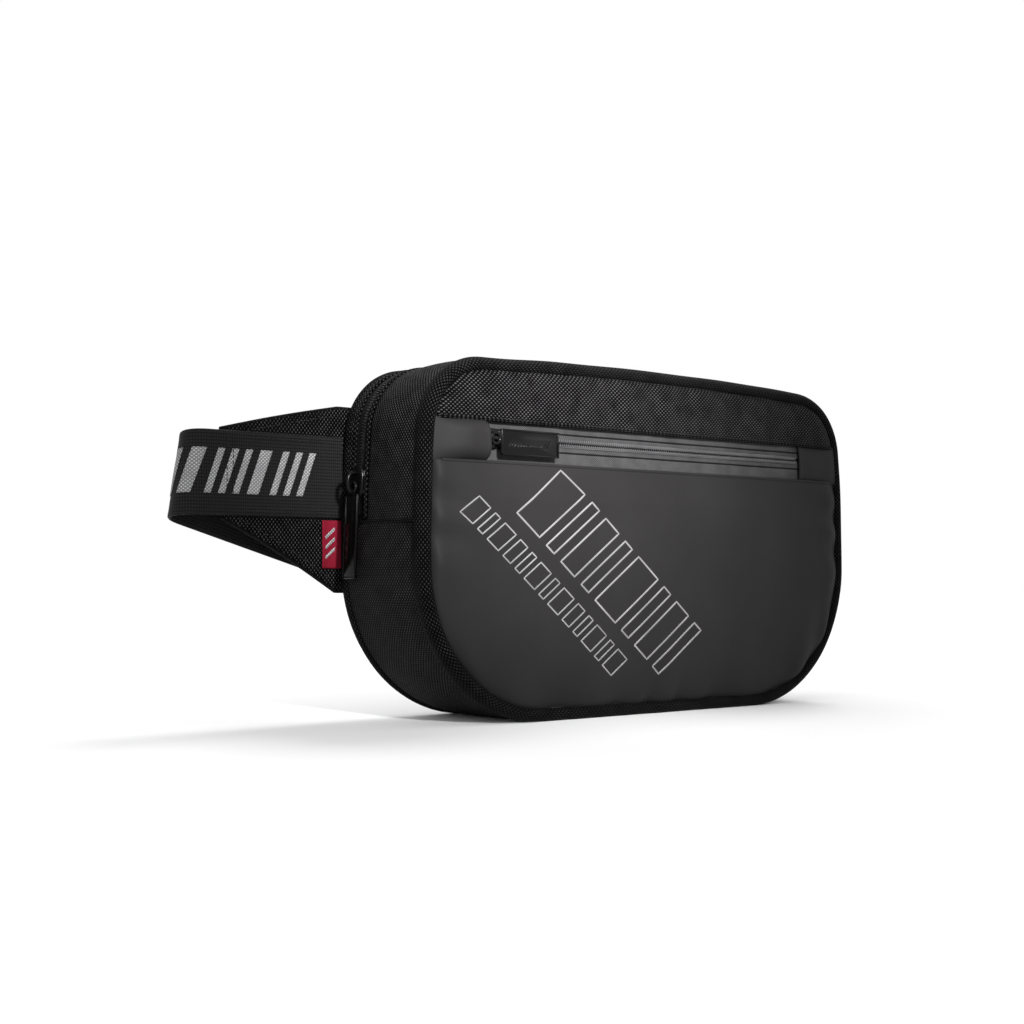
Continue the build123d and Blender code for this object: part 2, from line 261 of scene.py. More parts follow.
def bevel(obj, width, segments=3):
    """Round the object's sharp edges."""
    modifier = obj.modifiers.new("bevel", "BEVEL")
    modifier.width = width
    modifier.segments = segments
    modifier.limit_method = "ANGLE"
    modifier.angle_limit = radians(30)
    apply_modifiers(obj)
    finish_mesh(obj.data, 50)
    return obj


def plate(name, corners, low, high, matrix=Matrix(), width=0.0, segments=3):
    """A flat polygon in local x and y, from local z low to high, with bevelled edges."""
    count = len(corners)
    mesh = bpy.data.meshes.new(name)
    vertices = [(x, y, low) for x, y in corners] + [(x, y, high) for x, y in corners]
    faces = [list(range(count))[::-1], list(range(count, 2 * count))]
    faces += [[k, (k + 1) % count, (k + 1) % count + count, k + count] for k in range(count)]
    mesh.from_pydata(vertices, [], faces)
    obj = collection_link(name, mesh)
    mend(obj)
    if width:
        bevel(obj, width, segments)
    obj.data.transform(matrix)
    return obj


def rounded(length, width, radius, steps=5, start=None):
    """Corners of a rounded rectangle about the origin, or one that starts at x = start."""
    x0 = -length / 2 if start is None else start
    x1, half = x0 + length, width / 2
    corners = []
    centres = [(x1 - radius, half - radius, 0), (x0 + radius, half - radius, 90),
               (x0 + radius, radius - half, 180), (x1 - radius, radius - half, 270)]
    for cx, cy, turn in centres:
        for k in range(steps + 1):
            a = radians(turn + 90 * k / steps)
            corners.append((cx + radius * cos(a), cy + radius * sin(a)))
    return corners


def capsules(name, places, material, sides=6, rings=5):
    """Many small ellipsoids in one mesh: each place is (centre, half axis a, half b, half c)."""
    unit = []
    for i in range(rings + 1):
        t = pi * i / rings
        for j in range(sides):
            p = 2 * pi * j / sides
            unit.append((cos(t), sin(t) * cos(p), sin(t) * sin(p)))
    unit = np.array(unit)
    unit_faces = []
    for i in range(rings):
        for j in range(sides):
            k = (j + 1) % sides
            unit_faces.append((i * sides + j, i * sides + k, (i + 1) * sides + k, (i + 1) * sides + j))
    vertices, faces = [], []
    for centre, a, b, c in places:
        base = len(vertices)
        cloud = np.array(centre) + unit @ np.array([a, b, c])
        vertices += cloud.tolist()
        faces += [tuple(base + k for k in face) for face in unit_faces]
    mesh = bpy.data.meshes.new(name)
    mesh.from_pydata(vertices, [], faces)
    obj = collection_link(name, mesh)
    mend(obj, weld=WELD)
    mesh.shade_smooth()
    mesh.uv_layers.new(name="UVMap")
    return dress(obj, material)


def walk(points, pitch):
    """Evenly spaced positions and directions along a polyline."""
    points = np.asarray(points, float)
    steps = np.linalg.norm(np.diff(points, axis=0), axis=1)
    length = np.concatenate([[0], np.cumsum(steps)])
    at = np.arange(pitch / 2, length[-1], pitch)
    places = np.stack([np.interp(at, length, points[:, k]) for k in range(3)], axis=1)
    ahead = np.stack([np.interp(at + pitch * 0.1, length, points[:, k]) for k in range(3)], axis=1)
    behind = np.stack([np.interp(at - pitch * 0.1, length, points[:, k]) for k in range(3)], axis=1)
    direction = ahead - behind
    direction /= np.linalg.norm(direction, axis=1)[:, None]
    return places, direction


def stitch_line(points, normal, material, pitch=2.6 * MM, thread=0.32 * MM):
    """A sewn line: short sunk threads along a route on a surface that faces along normal."""
    places, direction = walk(points, pitch)
    normal = np.broadcast_to(np.asarray(normal, float), places.shape)
    items = []
    for place, ahead, up in zip(places, direction, normal):
        side = np.cross(up, ahead)
        side /= np.linalg.norm(side)
        items.append((place, ahead * pitch * 0.42, side * thread, up * thread))
    return capsules("stitches", items, material)


def smooth_noise(x, y, seed, scale):
    """Repeatable soft noise from a few sine waves."""
    rng = np.random.default_rng(seed)
    total = np.zeros_like(x, dtype=float)
    for _ in range(7):
        angle, phase = rng.uniform(0, 2 * pi, 2)
        wave = rng.uniform(0.6, 1.7) / scale
        total += np.sin((x * cos(angle) + y * sin(angle)) * 2 * pi * wave + phase)
    return total / 7


# ---------------------------------------------------------------- materials
class Shader:
    """A node tree with short calls for the nodes that the materials here need."""

    def __init__(self, name, color, roughness, **sockets):
        self.material = bpy.data.materials.new(name)
        self.material.use_nodes = True
        self.tree = self.material.node_tree
        self.surface = self.tree.nodes["Principled BSDF"]
        self.surface.inputs["Base Color"].default_value = (*color, 1)
        self.surface.inputs["Roughness"].default_value = roughness
        for key, value in sockets.items():
            self.surface.inputs[key.replace("_", " ")].default_value = value

    def node(self, kind, **values):
        node = self.tree.nodes.new(kind)
        for key, value in values.items():
            setattr(node, key, value)
        return node

    def link(self, a, b):
        self.tree.links.new(a, b)

    def math(self, operation, a, b=None):
        node = self.node("ShaderNodeMath", operation=operation)
        for socket, value in zip(node.inputs, (a, b)):
            if value is None:
                continue
            if isinstance(value, (int, float)):
                socket.default_value = value
            else:
                self.link(value, socket)
        return node.outputs[0]

    def add(self, a, b):
        return self.math("ADD", a, b)

    def times(self, a, b):
        return self.math("MULTIPLY", a, b)

    def coordinate(self, kind="UV", scale=(1, 1, 1), turn=0.0):
        source = self.node("ShaderNodeTexCoord").outputs[kind]
        mapping = self.node("ShaderNodeMapping")
        mapping.inputs["Scale"].default_value = scale
        mapping.inputs["Rotation"].default_value = (0, 0, turn)
        self.link(source, mapping.inputs["Vector"])
        return mapping.outputs[0]

    def noise(self, scale, detail=3.0, kind="Object", roughness=0.5):
        node = self.node("ShaderNodeTexNoise")
        node.inputs["Scale"].default_value = scale
        node.inputs["Detail"].default_value = detail
        node.inputs["Roughness"].default_value = roughness
        self.link(self.coordinate(kind), node.inputs["Vector"])
        return node.outputs["Fac"]

    def weave(self, pitch_u, pitch_v, kind="UV", turn=0.0):
        """Height of a plain weave: alternate cells show a thread that runs one way or the other."""
        vector = self.coordinate(kind, (1 / pitch_u, 1 / pitch_v, 1), turn)
        split = self.node("ShaderNodeSeparateXYZ")
        self.link(vector, split.inputs[0])
        u, v = split.outputs[0], split.outputs[1]
        su, sv = (self.math("ABSOLUTE", self.math("SINE", self.times(t, pi))) for t in (u, v))
        cell = self.add(self.math("FLOOR", u), self.math("FLOOR", v))
        self.parity = self.math("ABSOLUTE", self.math("MODULO", cell, 2))
        pick = self.node("ShaderNodeMix", data_type="FLOAT")
        self.link(self.parity, pick.inputs[0])
        for socket, crown, run in ((2, su, sv), (3, sv, su)):
            thread = self.times(self.math("POWER", crown, 0.6), self.add(self.times(run, 0.5), 0.5))
            self.link(thread, pick.inputs[socket])
        return pick.outputs[0]

    def colors(self, factor, dark, bright, low=0.2, high=0.9):
        ramp = self.node("ShaderNodeValToRGB")
        ramp.color_ramp.elements[0].position = low
        ramp.color_ramp.elements[0].color = (*dark, 1)
        ramp.color_ramp.elements[1].position = high
        ramp.color_ramp.elements[1].color = (*bright, 1)
        self.link(factor, ramp.inputs[0])
        self.link(ramp.outputs[0], self.surface.inputs["Base Color"])
        return ramp

    def roughness(self, factor, low, high):
        node = self.node("ShaderNodeMapRange")
        node.inputs["To Min"].default_value = low
        node.inputs["To Max"].default_value = high
        self.link(factor, node.inputs["Value"])
        self.link(node.outputs[0], self.surface.inputs["Roughness"])

    def bump(self, height, distance, strength=1.0, below=None):
        node = self.node("ShaderNodeBump")
        node.inputs["Strength"].default_value = strength
        node.inputs["Distance"].default_value = distance
        self.link(height, node.inputs["Height"])
        if below is not None:
            self.link(below, node.inputs["Normal"])
        self.link(node.outputs[0], self.surface.inputs["Normal"])
        return node.outputs[0]


def ballistic(name, dark, bright, pitch_u, pitch_v, depth, roughness=0.62, kind="UV"):
    """Coarse black nylon: a heavy plain weave whose thread tops catch the light, as painted highlight in the
    base colour with painted shade in the gaps.
    """
    shader = Shader(name, bright, roughness, Specular_IOR_Level=0.03)
    height = shader.weave(pitch_u, pitch_v, kind)
    cloud = shader.noise(160, 2)
    # base colour: painted highlight on the thread tops and on one run of threads, painted shade in the gaps
    # between them, with a random mottle from the cloud
    mottled_sheen = shader.times(height, shader.add(shader.times(cloud, 0.9), 0.55))
    run_sheen = shader.add(shader.times(shader.parity, 0.62), 0.38)
    shader.colors(shader.times(mottled_sheen, run_sheen), dark, bright, 0.42, 1.0)
    shader.roughness(cloud, roughness - 0.1, roughness + 0.12)
    fold = shader.bump(shader.noise(38, 3), 1.2 * MM, 0.25)
    shader.bump(height, depth, 1.0, fold)
    return shader.material


def coated():
    """Matte charcoal cloth with a thin smooth coating and a very fine grain."""
    shader = Shader("coated_charcoal", (0.0105, 0.01, 0.0102), 0.42, Specular_IOR_Level=0.06)
    cloud = shader.noise(22, 4)
    shader.colors(cloud, (0.0095, 0.009, 0.0093), (0.0125, 0.0119, 0.0122), 0.3, 0.75)
    grain = shader.noise(1900, 2)
    shader.roughness(shader.noise(60, 3), 0.5, 0.64)
    weave = shader.weave(0.42 * MM, 0.42 * MM)
    soft = shader.bump(grain, 0.05 * MM, 0.6)
    shader.bump(weave, 0.03 * MM, 0.5, soft)
    return shader.material


def plain(name, color, roughness, grain=900, depth=0.03 * MM, spread=0.25, **sockets):
    """Plastic, enamel, thread and the like: one colour with slight grain and uneven gloss."""
    shader = Shader(name, color, roughness, **sockets)
    cloud = shader.noise(grain / 20, 3)
    low = tuple(c * (1 - spread) for c in color)
    high = tuple(min(1, c * (1 + spread)) for c in color)
    shader.colors(cloud, low, high, 0.35, 0.7)
    shader.roughness(cloud, max(0.05, roughness - 0.05), min(1, roughness + 0.08))
    shader.bump(shader.noise(grain, 2), depth, 0.5)
    return shader.material


def webbing_material():
    """Belt webbing: fine ribs across the strap over a lengthwise herringbone."""
    shader = Shader("belt_webbing", (0.012, 0.012, 0.0124), 0.5, Specular_IOR_Level=0.06)
    ribs = shader.weave(1.15 * MM, 1.5 * MM)
    fine = shader.weave(0.55 * MM, 0.5 * MM)
    height = shader.add(shader.times(ribs, 0.65), shader.times(fine, 0.35))
    # base colour follows the rib height: painted shade between the ribs, painted highlight on their tops
    shader.colors(height, (0.001, 0.001, 0.001), (0.019, 0.0186, 0.019), 0.3, 0.95)
    shader.roughness(shader.noise(90, 3), 0.42, 0.6)
    shader.bump(height, 0.22 * MM, 1.0)
    return shader.material


def mesh_material():
    """Spacer mesh: rows of small holes in a soft knitted face."""
    shader = Shader("spacer_mesh", (0.012, 0.012, 0.0125), 0.85, Specular_IOR_Level=0.1)
    cells = shader.node("ShaderNodeTexVoronoi", feature="F1")
    cells.inputs["Scale"].default_value = 420
    cells.inputs["Randomness"].default_value = 0.25
    shader.link(shader.coordinate("Object"), cells.inputs["Vector"])
    # base colour: painted shade inside the holes, lighter on the knitted face between them
    shader.colors(cells.outputs["Distance"], (0.0008, 0.0008, 0.0008), (0.014, 0.014, 0.0145), 0.1, 0.45)
    shader.bump(cells.outputs["Distance"], 0.8 * MM, 0.9)
    return shader.material


NYLON = ballistic("ballistic_nylon", (0.0002, 0.0002, 0.0002), (0.048, 0.0472, 0.048),
                  1.15 * MM, 0.95 * MM, 0.5 * MM)
# a darker copy of the nylon for the rolled rim: painted shade where the roll curves away
NYLON_ROLL_SHADED = ballistic("ballistic_roll_painted_shade", (0.0001, 0.0001, 0.0001), (0.02, 0.0196, 0.02),
                       1.15 * MM, 0.95 * MM, 0.5 * MM)
# a darker copy of the nylon for the seams, zip folds and hem: painted shade on these small rolls
NYLON_FOLD_SHADED = ballistic("ballistic_fold_painted_shade", (0.0002, 0.0002, 0.0002), (0.026, 0.0256, 0.026),
                       1.2 * MM, 1.1 * MM, 0.4 * MM)
COATED = coated()
WEBBING = webbing_material()
SPACER = mesh_material()
TAPE = ballistic("zip_tape", (0.004, 0.004, 0.0043), (0.02, 0.02, 0.021), 0.6 * MM, 0.45 * MM, 0.12 * MM)
# lighter copy of the zip tape for the front zip: partly the tape's paler coated tone, partly a painted
# reflection on its smooth face
TAPE_GREY_SHEEN = ballistic("zip_tape_grey_painted_sheen", (0.02, 0.02, 0.0204), (0.095, 0.094, 0.096),
                      0.6 * MM, 0.45 * MM, 0.12 * MM)
BINDING = ballistic("edge_binding", (0.001, 0.001, 0.0011), (0.011, 0.011, 0.0114),
                    0.8 * MM, 0.5 * MM, 0.16 * MM)
LINING = ballistic("thin_lining", (0.04, 0.04, 0.042), (0.1, 0.1, 0.105), 0.4 * MM, 0.4 * MM, 0.05 * MM,
                   kind="Object")
FOAM = plain("foam", (0.012, 0.012, 0.0125), 0.9, 700, 0.2 * MM)
COIL = plain("zip_coil", (0.008, 0.008, 0.0085), 0.38, 1500, Specular_IOR_Level=0.2)
COIL_GREY = plain("zip_coil_grey", (0.05, 0.049, 0.05), 0.4, 1500)
ENAMEL = plain("black_enamel", (0.0015, 0.0015, 0.0016), 0.17, 500, 0.01 * MM, Specular_IOR_Level=0.14)
THREAD = plain("black_thread", (0.012, 0.012, 0.0124), 0.6, 2500, Specular_IOR_Level=0.1)
THREAD_GREY = plain("grey_thread", (0.07, 0.07, 0.072), 0.6, 2500)
ACETAL = plain("moulded_acetal", (0.008, 0.008, 0.0085), 0.42, 1400, 0.04 * MM, Specular_IOR_Level=0.25)
INK = plain("printed_ink", (0.12, 0.117, 0.117), 0.6, 1200, 0.02 * MM)
WHITE_YARN = ballistic("white_yarn", (0.17, 0.17, 0.172), (0.5, 0.5, 0.51), 0.9 * MM, 0.8 * MM, 0.22 * MM)
RED = ballistic("label_red", (0.12, 0.006, 0.014), (0.28, 0.014, 0.035), 0.35 * MM, 0.3 * MM, 0.06 * MM)
ELASTIC = ballistic("knitted_elastic", (0.004, 0.004, 0.0045), (0.03, 0.03, 0.032),
                    1.8 * MM, 0.5 * MM, 0.2 * MM)


def sew(obj, body, slot, *nodes):
    """Let a finished piece ride on its body and stand for its CAD nodes."""
    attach(obj, body)
    if nodes:
        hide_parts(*nodes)
    return obj


def face_cloth(name, x, y, z, sign, thickness, material, slot, *nodes):
    """A sheet of the front (sign -1) or the back (sign 1), from grids of x, y and z."""
    obj = grid(name, line_of(x, y, z), np.stack([x, z], axis=2))
    total = sum(p.normal.y * p.area for p in obj.data.polygons)
    if total * sign < 0:
        obj.data.flip_normals()
    solidify(obj, thickness)
    dress(obj, material)
    return sew(obj, "bag", slot, *nodes)


def bend(obj, bodies, limits, slot, *nodes):
    """Bake a finished piece's transform and let it stand for its CAD nodes, which are hidden."""
    if nodes:
        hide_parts(*nodes)
    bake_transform(obj)
    return obj


# ---------------------------------------------------------------- gussets, rims and main zip
S_RIGHT = length_at(SEAM_Z)
S_LEFT = length_at(SEAM_Z, right=False)


def swept(name, s0, s1, profile, steps, closed=False, wrinkle=0.0, seed=1, close_v=False):
    """A section carried round the outline. The profile is a list of (inset, y)."""
    s = np.linspace(s0, s1, steps, endpoint=not closed)
    rows = []
    across = np.array(profile)
    middle = np.linspace(0, 1, len(profile))
    for value in s:
        inset = across[:, 0].copy()
        if wrinkle:
            swell = np.sin(pi * middle)
            inset = inset - wrinkle * swell * smooth_noise(
                np.full(len(profile), value), across[:, 1], seed, 0.05)
        x, z = outline(np.full(len(profile), value), inset)
        rows.append(np.stack([x, across[:, 1], z], axis=1))
    rows = np.array(rows)
    run = np.concatenate([[0], np.cumsum(np.hypot(*np.diff(across, axis=0).T))])
    span = np.append(s, s1)
    uvs = [[(span[i], run[j]) for j in range(len(profile))] for i in range(len(s) + 1)]
    points = np.vstack([rows, rows[:1]]) if closed else rows
    obj = grid(name, points, uvs, close_v=close_v)
    if closed:
        mend(obj, weld=1e-6)
        finish_mesh(obj.data, 60)
    return obj


def cloth_profile(y0, y1, crown, edge=0.9 * MM, count=15):
    """Section of a sewn strip of cloth: it dips into the seams at both edges and swells between."""
    points = []
    for t in np.linspace(0, 1, count):
        from_edge = min(t, 1 - t) * (y1 - y0)
        dip = edge * np.exp(-from_edge / (1.1 * MM))
        points.append((0.45 * MM + dip - crown * sin(pi * t), y0 + t * (y1 - y0)))
    return points


def gussets():
    """The woven strips round the bag, and the seams where the lower one meets the upper ones."""
    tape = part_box("main_zip_tape_front")
    tape_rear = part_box("main_zip_tape_rear")
    front, rear = low_lo.y, low_hi.y
    lower = swept("gusset_lower_cloth", S_LEFT - PERIMETER, S_RIGHT,
                  cloth_profile(front, rear, 0.9 * MM, count=25), 260, wrinkle=0.35 * MM, seed=3)
    upper = swept("gusset_front_cloth", S_RIGHT, S_LEFT,
                  cloth_profile(front, tape[0].y, 0.9 * MM, count=21), 300, wrinkle=0.35 * MM, seed=5)
    behind = swept("gusset_rear_cloth", S_RIGHT, S_LEFT,
                   cloth_profile(tape_rear[1].y, rear, 0.5 * MM, edge=0.5 * MM, count=9), 300)
    for obj, node in ((lower, "gusset_lower"), (upper, "gusset_front_upper"), (behind, "gusset_rear_upper")):
        flip_outward(obj)
        solidify(obj, 1.1 * MM)
        dress(obj, NYLON)
        sew(obj, "bag", "ballistic_nylon", node)
    for side, s in (("left", S_LEFT), ("right", S_RIGHT)):
        x, z = outline(s, 0.05 * MM)
        fold = line_of(x, np.linspace(front + 0.5 * MM, rear - 0.5 * MM, 24), z)
        sew(tube("gusset_seam_" + side, fold, 0.75 * MM, NYLON_FOLD_SHADED), "bag", "ballistic_nylon")


def tube(name, points, radius, material, sides=10, flat=1.0, up=(0, 0, 1)):
    """A round or flattened tube along a polyline."""
    points = np.asarray(points, float)
    tangent = np.gradient(points, axis=0)
    tangent /= np.linalg.norm(tangent, axis=1)[:, None]
    up = np.broadcast_to(np.asarray(up, float), points.shape)
    side = np.cross(tangent, up)
    side /= np.linalg.norm(side, axis=1)[:, None]
    top = np.cross(side, tangent)
    rows = []
    for p, a, b in zip(points, side, top):
        ring = [p + radius * (a * cos(t) + b * flat * sin(t))
                for t in np.linspace(0, 2 * pi, sides, endpoint=False)]
        rows.append(ring)
    obj = grid(name, rows, close_v=True)
    mend(obj, fill=True)
    return dress(obj, material)


def rim(name, y_face, sign, node, radius, depth, centre, wrinkle):
    """The plump rolled edge: it swells out of the gusset and turns into the groove round the face."""
    profile = []
    centre_y = y_face - sign * (depth - 0.5 * MM)
    for t in np.linspace(radians(-58), radians(196), 22):
        profile.append((centre - radius * cos(t), centre_y + sign * depth * sin(t)))
    obj = swept(name, 0, PERIMETER, profile, 620, closed=True, wrinkle=wrinkle, seed=23 if sign < 0 else 29)
    flip_outward(obj)
    solidify(obj, 0.9 * MM)
    # the darker roll nylon is painted shade on the curve of the roll
    dress(obj, NYLON_ROLL_SHADED)
    return sew(obj, "bag", "binding", node)


def coil_places(s, y, inset, pitch, reach):
    """Two meshed rows of teeth round the outline."""
    places = []
    for k, value in enumerate(s):
        x, z = outline(np.array([value, value + 0.5 * MM]), inset)
        ahead = np.array([x[1] - x[0], 0, z[1] - z[0]])
        ahead /= np.linalg.norm(ahead)
        out = np.array([-ahead[2], 0, ahead[0]]) * -1
        side = 1 if k % 2 else -1
        centre = np.array([x[0], y + side * reach * 0.42, z[0]])
        places.append((centre, np.array([0, reach * 0.62, 0]) + ahead * 0.12 * MM,
                       ahead * pitch * 0.46, out * 0.55 * MM))
    return places


def main_zip():
    """Tapes, their rolled folds and the meshed teeth, round the top from side seam to side seam."""
    for node in ("main_zip_tape_front", "main_zip_tape_rear"):
        lo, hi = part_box(node)
        inner, outer = (lo.y, hi.y + 0.8 * MM) if lo.y < ZIP_Y else (lo.y - 0.8 * MM, hi.y)
        profile = [(1.15 * MM, y) for y in np.linspace(inner, outer, 7)]
        tape = swept(node + "_cloth", S_RIGHT, S_LEFT, profile, 300)
        flip_outward(tape)
        solidify(tape, 0.6 * MM)
        dress(tape, TAPE)
        sew(tape, "bag", "zip_tape", node)
        edge = lo.y + 0.35 * MM if lo.y < ZIP_Y else hi.y - 0.35 * MM
        s = np.linspace(S_RIGHT + 2 * MM, S_LEFT - 2 * MM, 260)
        x, z = outline(s, 0.55 * MM)
        roll = tube(node + "_fold", line_of(x, edge, z), 0.85 * MM, NYLON_FOLD_SHADED, up=(0, 1, 0))
        sew(roll, "bag", "ballistic_nylon")
    pitch = 0.72 * MM
    s = np.arange(S_RIGHT + 3 * MM, S_LEFT - 3 * MM, pitch)
    teeth = capsules("main_zip_teeth", coil_places(s, ZIP_Y, 0.75 * MM, pitch, 1.9 * MM), COIL, 5, 4)
    sew(teeth, "bag", "zip_coil", "main_zip_coil")


# ---------------------------------------------------------------- the front
FINE = np.linspace(0, PERIMETER, 1600, endpoint=False)


def edge_distance(x, z, inset):
    """Distance from points in the front plane to the outline drawn in by inset."""
    bx, bz = outline(FINE, inset)
    flat = np.stack([x.ravel(), z.ravel()], axis=1)
    result = np.empty(len(flat))
    for start in range(0, len(flat), 2000):
        part = flat[start:start + 2000]
        gap = np.hypot(part[:, None, 0] - bx, part[:, None, 1] - bz)
        result[start:start + 2000] = gap.min(axis=1)
    return result.reshape(x.shape)


def column_limits(x, inset):
    """Lowest and highest z inside the drawn-in outline at each x."""
    bx, bz = outline(FINE, inset)
    limits = []
    for part in (bz < HEIGHT / 2, bz >= HEIGHT / 2):
        part = part & (bx >= 0)
        order = np.argsort(bx[part])
        limits.append(np.interp(np.abs(x), bx[part][order], bz[part][order]))
    return limits


def front_grid(inset, z_low, z_high, columns, rows, x_low=None, x_high=None):
    """x and z of a grid that fills the front inside the outline between two heights."""
    bx, _ = outline(FINE, inset)
    edge = bx.max() - 0.05 * MM
    left = -edge if x_low is None else x_low
    right = edge if x_high is None else x_high
    t = np.linspace(0, 1, columns)
    ease = t if x_low is not None or x_high is not None else 0.5 - 0.5 * np.cos(pi * t) * (
        0.35 + 0.65 * np.abs(np.cos(pi * t)) ** 0.5)
    x = left + (right - left) * ease
    low, high = column_limits(x, inset)
    low = np.maximum(low, z_low) if z_low is not None else low
    high = np.minimum(high, z_high) if z_high is not None else high
    high = np.maximum(high, low + 0.02 * MM)
    v = np.linspace(0, 1, rows)
    z = low[:, None] + (high - low)[:, None] * v[None, :]
    return np.repeat(x[:, None], rows, axis=1), z


def panel_y(x, z):
    """Depth of the pillowed pocket panel: full in the middle, puckered where it meets the rim."""
    d = edge_distance(x, z, RIM)
    full = 1 - np.exp(-d / (17 * MM))
    low = np.clip(1 - z / (70 * MM), 0, 1)
    pucker = np.sin(x / (4.6 * MM) + 2.2 * np.sin(x / (21 * MM))) * 1.3 * MM
    near = np.exp(-d / (8 * MM)) * (1 - np.exp(-d / (1.2 * MM)))
    side = np.exp(-(HALF_WIDTH - np.abs(x)) / (15 * MM)) * (1 - np.exp(-d / (2 * MM)))
    gather = np.sin(z / (4.4 * MM) + 1.9 * np.sin(z / (15 * MM)) + 0.05 * x / MM) * 1.7 * MM * side
    slack = smooth_noise(x, z, 11, 0.085) * 0.9 * MM * full + gather
    top = np.clip((PANEL_Z - z) / (16 * MM), 0, 1)
    sunk = 1 - np.exp(-d / (1.9 * MM))
    swell = (-1.3 + 3.4 * sunk + 5.0 * full * (0.3 + 0.7 * top ** 0.7)) * MM
    return FACE_Y - swell - pucker * near * (0.35 + 0.65 * low) * 1.6 - slack * 0.6


def pocket_panel():
    """The coated panel of the front pocket with the folded lip below its zip."""
    x, z = front_grid(RIM - 1.2 * MM, None, PANEL_Z, 190, 110)
    panel = face_cloth("front_pocket_cloth", x, panel_y(x, z), z, -1, 1.0 * MM, COATED, "coated_fabric",
                       "front_pocket_panel")
    lip_x = np.linspace(-HALF_WIDTH + 5 * MM, HALF_WIDTH - 5 * MM, 160)
    lip_z = np.full_like(lip_x, PANEL_Z - 0.3 * MM)
    lip_y = panel_y(lip_x, lip_z) + 0.25 * MM
    lip = tube("front_pocket_lip", line_of(lip_x, lip_y, lip_z), 0.8 * MM, COATED)
    sew(lip, "bag", "coated_fabric")


def band_y(x, z):
    """Depth of the band over the pocket zip, puckered along its upper seam."""
    d = edge_distance(x, z, RIM)
    full = 1 - np.exp(-d / (5 * MM))
    pucker = np.sin(x / (5.5 * MM) + 2.0 * np.sin(x / (27 * MM))) * 0.95 * MM
    sunk = 1 - np.exp(-d / (1.7 * MM))
    return FACE_Y - (-1.6 + 3.2 * sunk + 1.7 * full) * MM - pucker * full * np.exp(-d / (16 * MM))


def top_band():
    """The woven band over the pocket zip, with its turned hem."""
    x, z = front_grid(RIM - 1.2 * MM, BAND_Z, None, 190, 26)
    face_cloth("front_top_cloth", x, band_y(x, z), z, -1, 1.0 * MM, NYLON, "ballistic_nylon",
               "front_top_panel")
    hem_x = np.linspace(-HALF_WIDTH + 3 * MM, HALF_WIDTH - 3 * MM, 160)
    hem_z = np.full_like(hem_x, BAND_Z)
    hem = tube("front_top_hem", line_of(hem_x, band_y(hem_x, hem_z) + 0.3 * MM, hem_z), 0.9 * MM, NYLON_FOLD_SHADED)
    sew(hem, "bag", "ballistic_nylon")


def front_backing():
    """The cloth that closes the front behind the zip window."""
    x, z = front_grid(RIM - 1.0 * MM, PANEL_Z - 6 * MM, BAND_Z + 4 * MM, 80, 8)
    face_cloth("front_window_backing", x, FACE_Y - 0.15 * MM, z, -1, 0.8 * MM, TAPE, "zip_tape")


def pocket_flap(node):
    """A folded flap over the end of the pocket zip, with a rolled inner edge."""
    lo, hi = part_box(node)
    left = lo.x < 0
    inner_top = hi.x + 4.2 * MM if left else lo.x
    lean = 1.2 * MM if left else 0.8 * MM
    z = np.linspace(PANEL_Z - 1.2 * MM, BAND_Z + 0.4 * MM, 22)
    rows = []
    for t in np.linspace(0, 1, 34):
        line = []
        for zz in z:
            h = (BAND_Z - zz) / (BAND_Z - PANEL_Z)
            inner = inner_top + lean * h
            at = length_at(min(zz, HEIGHT - 2 * MM), right=not left)
            outer = outline(at, RIM - 1.2 * MM)[0]
            xx = outer + (inner - outer) * t
            crown = 2.3 * MM * (1 - (2 * h - 1) ** 4 * 0.45)
            roll = 0.5 * MM * np.exp(-abs(xx - inner) / (1.6 * MM))
            if left:
                rise = np.clip(t / 0.7, 0, 1)
                crown += 4.2 * MM * rise ** 2 * (3 - 2 * rise) * (1 - (2 * h - 1) ** 4)
            edge = 1 - np.exp(-abs(xx - outer) / (3.5 * MM))
            wave = smooth_noise(np.array([xx]), np.array([zz]), 17 if left else 19, 0.03)[0] * 0.35 * MM
            line.append((xx, FACE_Y - 0.5 * MM - (crown + wave) * edge - roll, zz))
        rows.append(line)
    obj = grid(node + "_cloth", rows)
    flip_outward(obj)
    solidify(obj, 1.2 * MM)
    dress(obj, COATED)
    sew(obj, "bag", "coated_fabric", node)


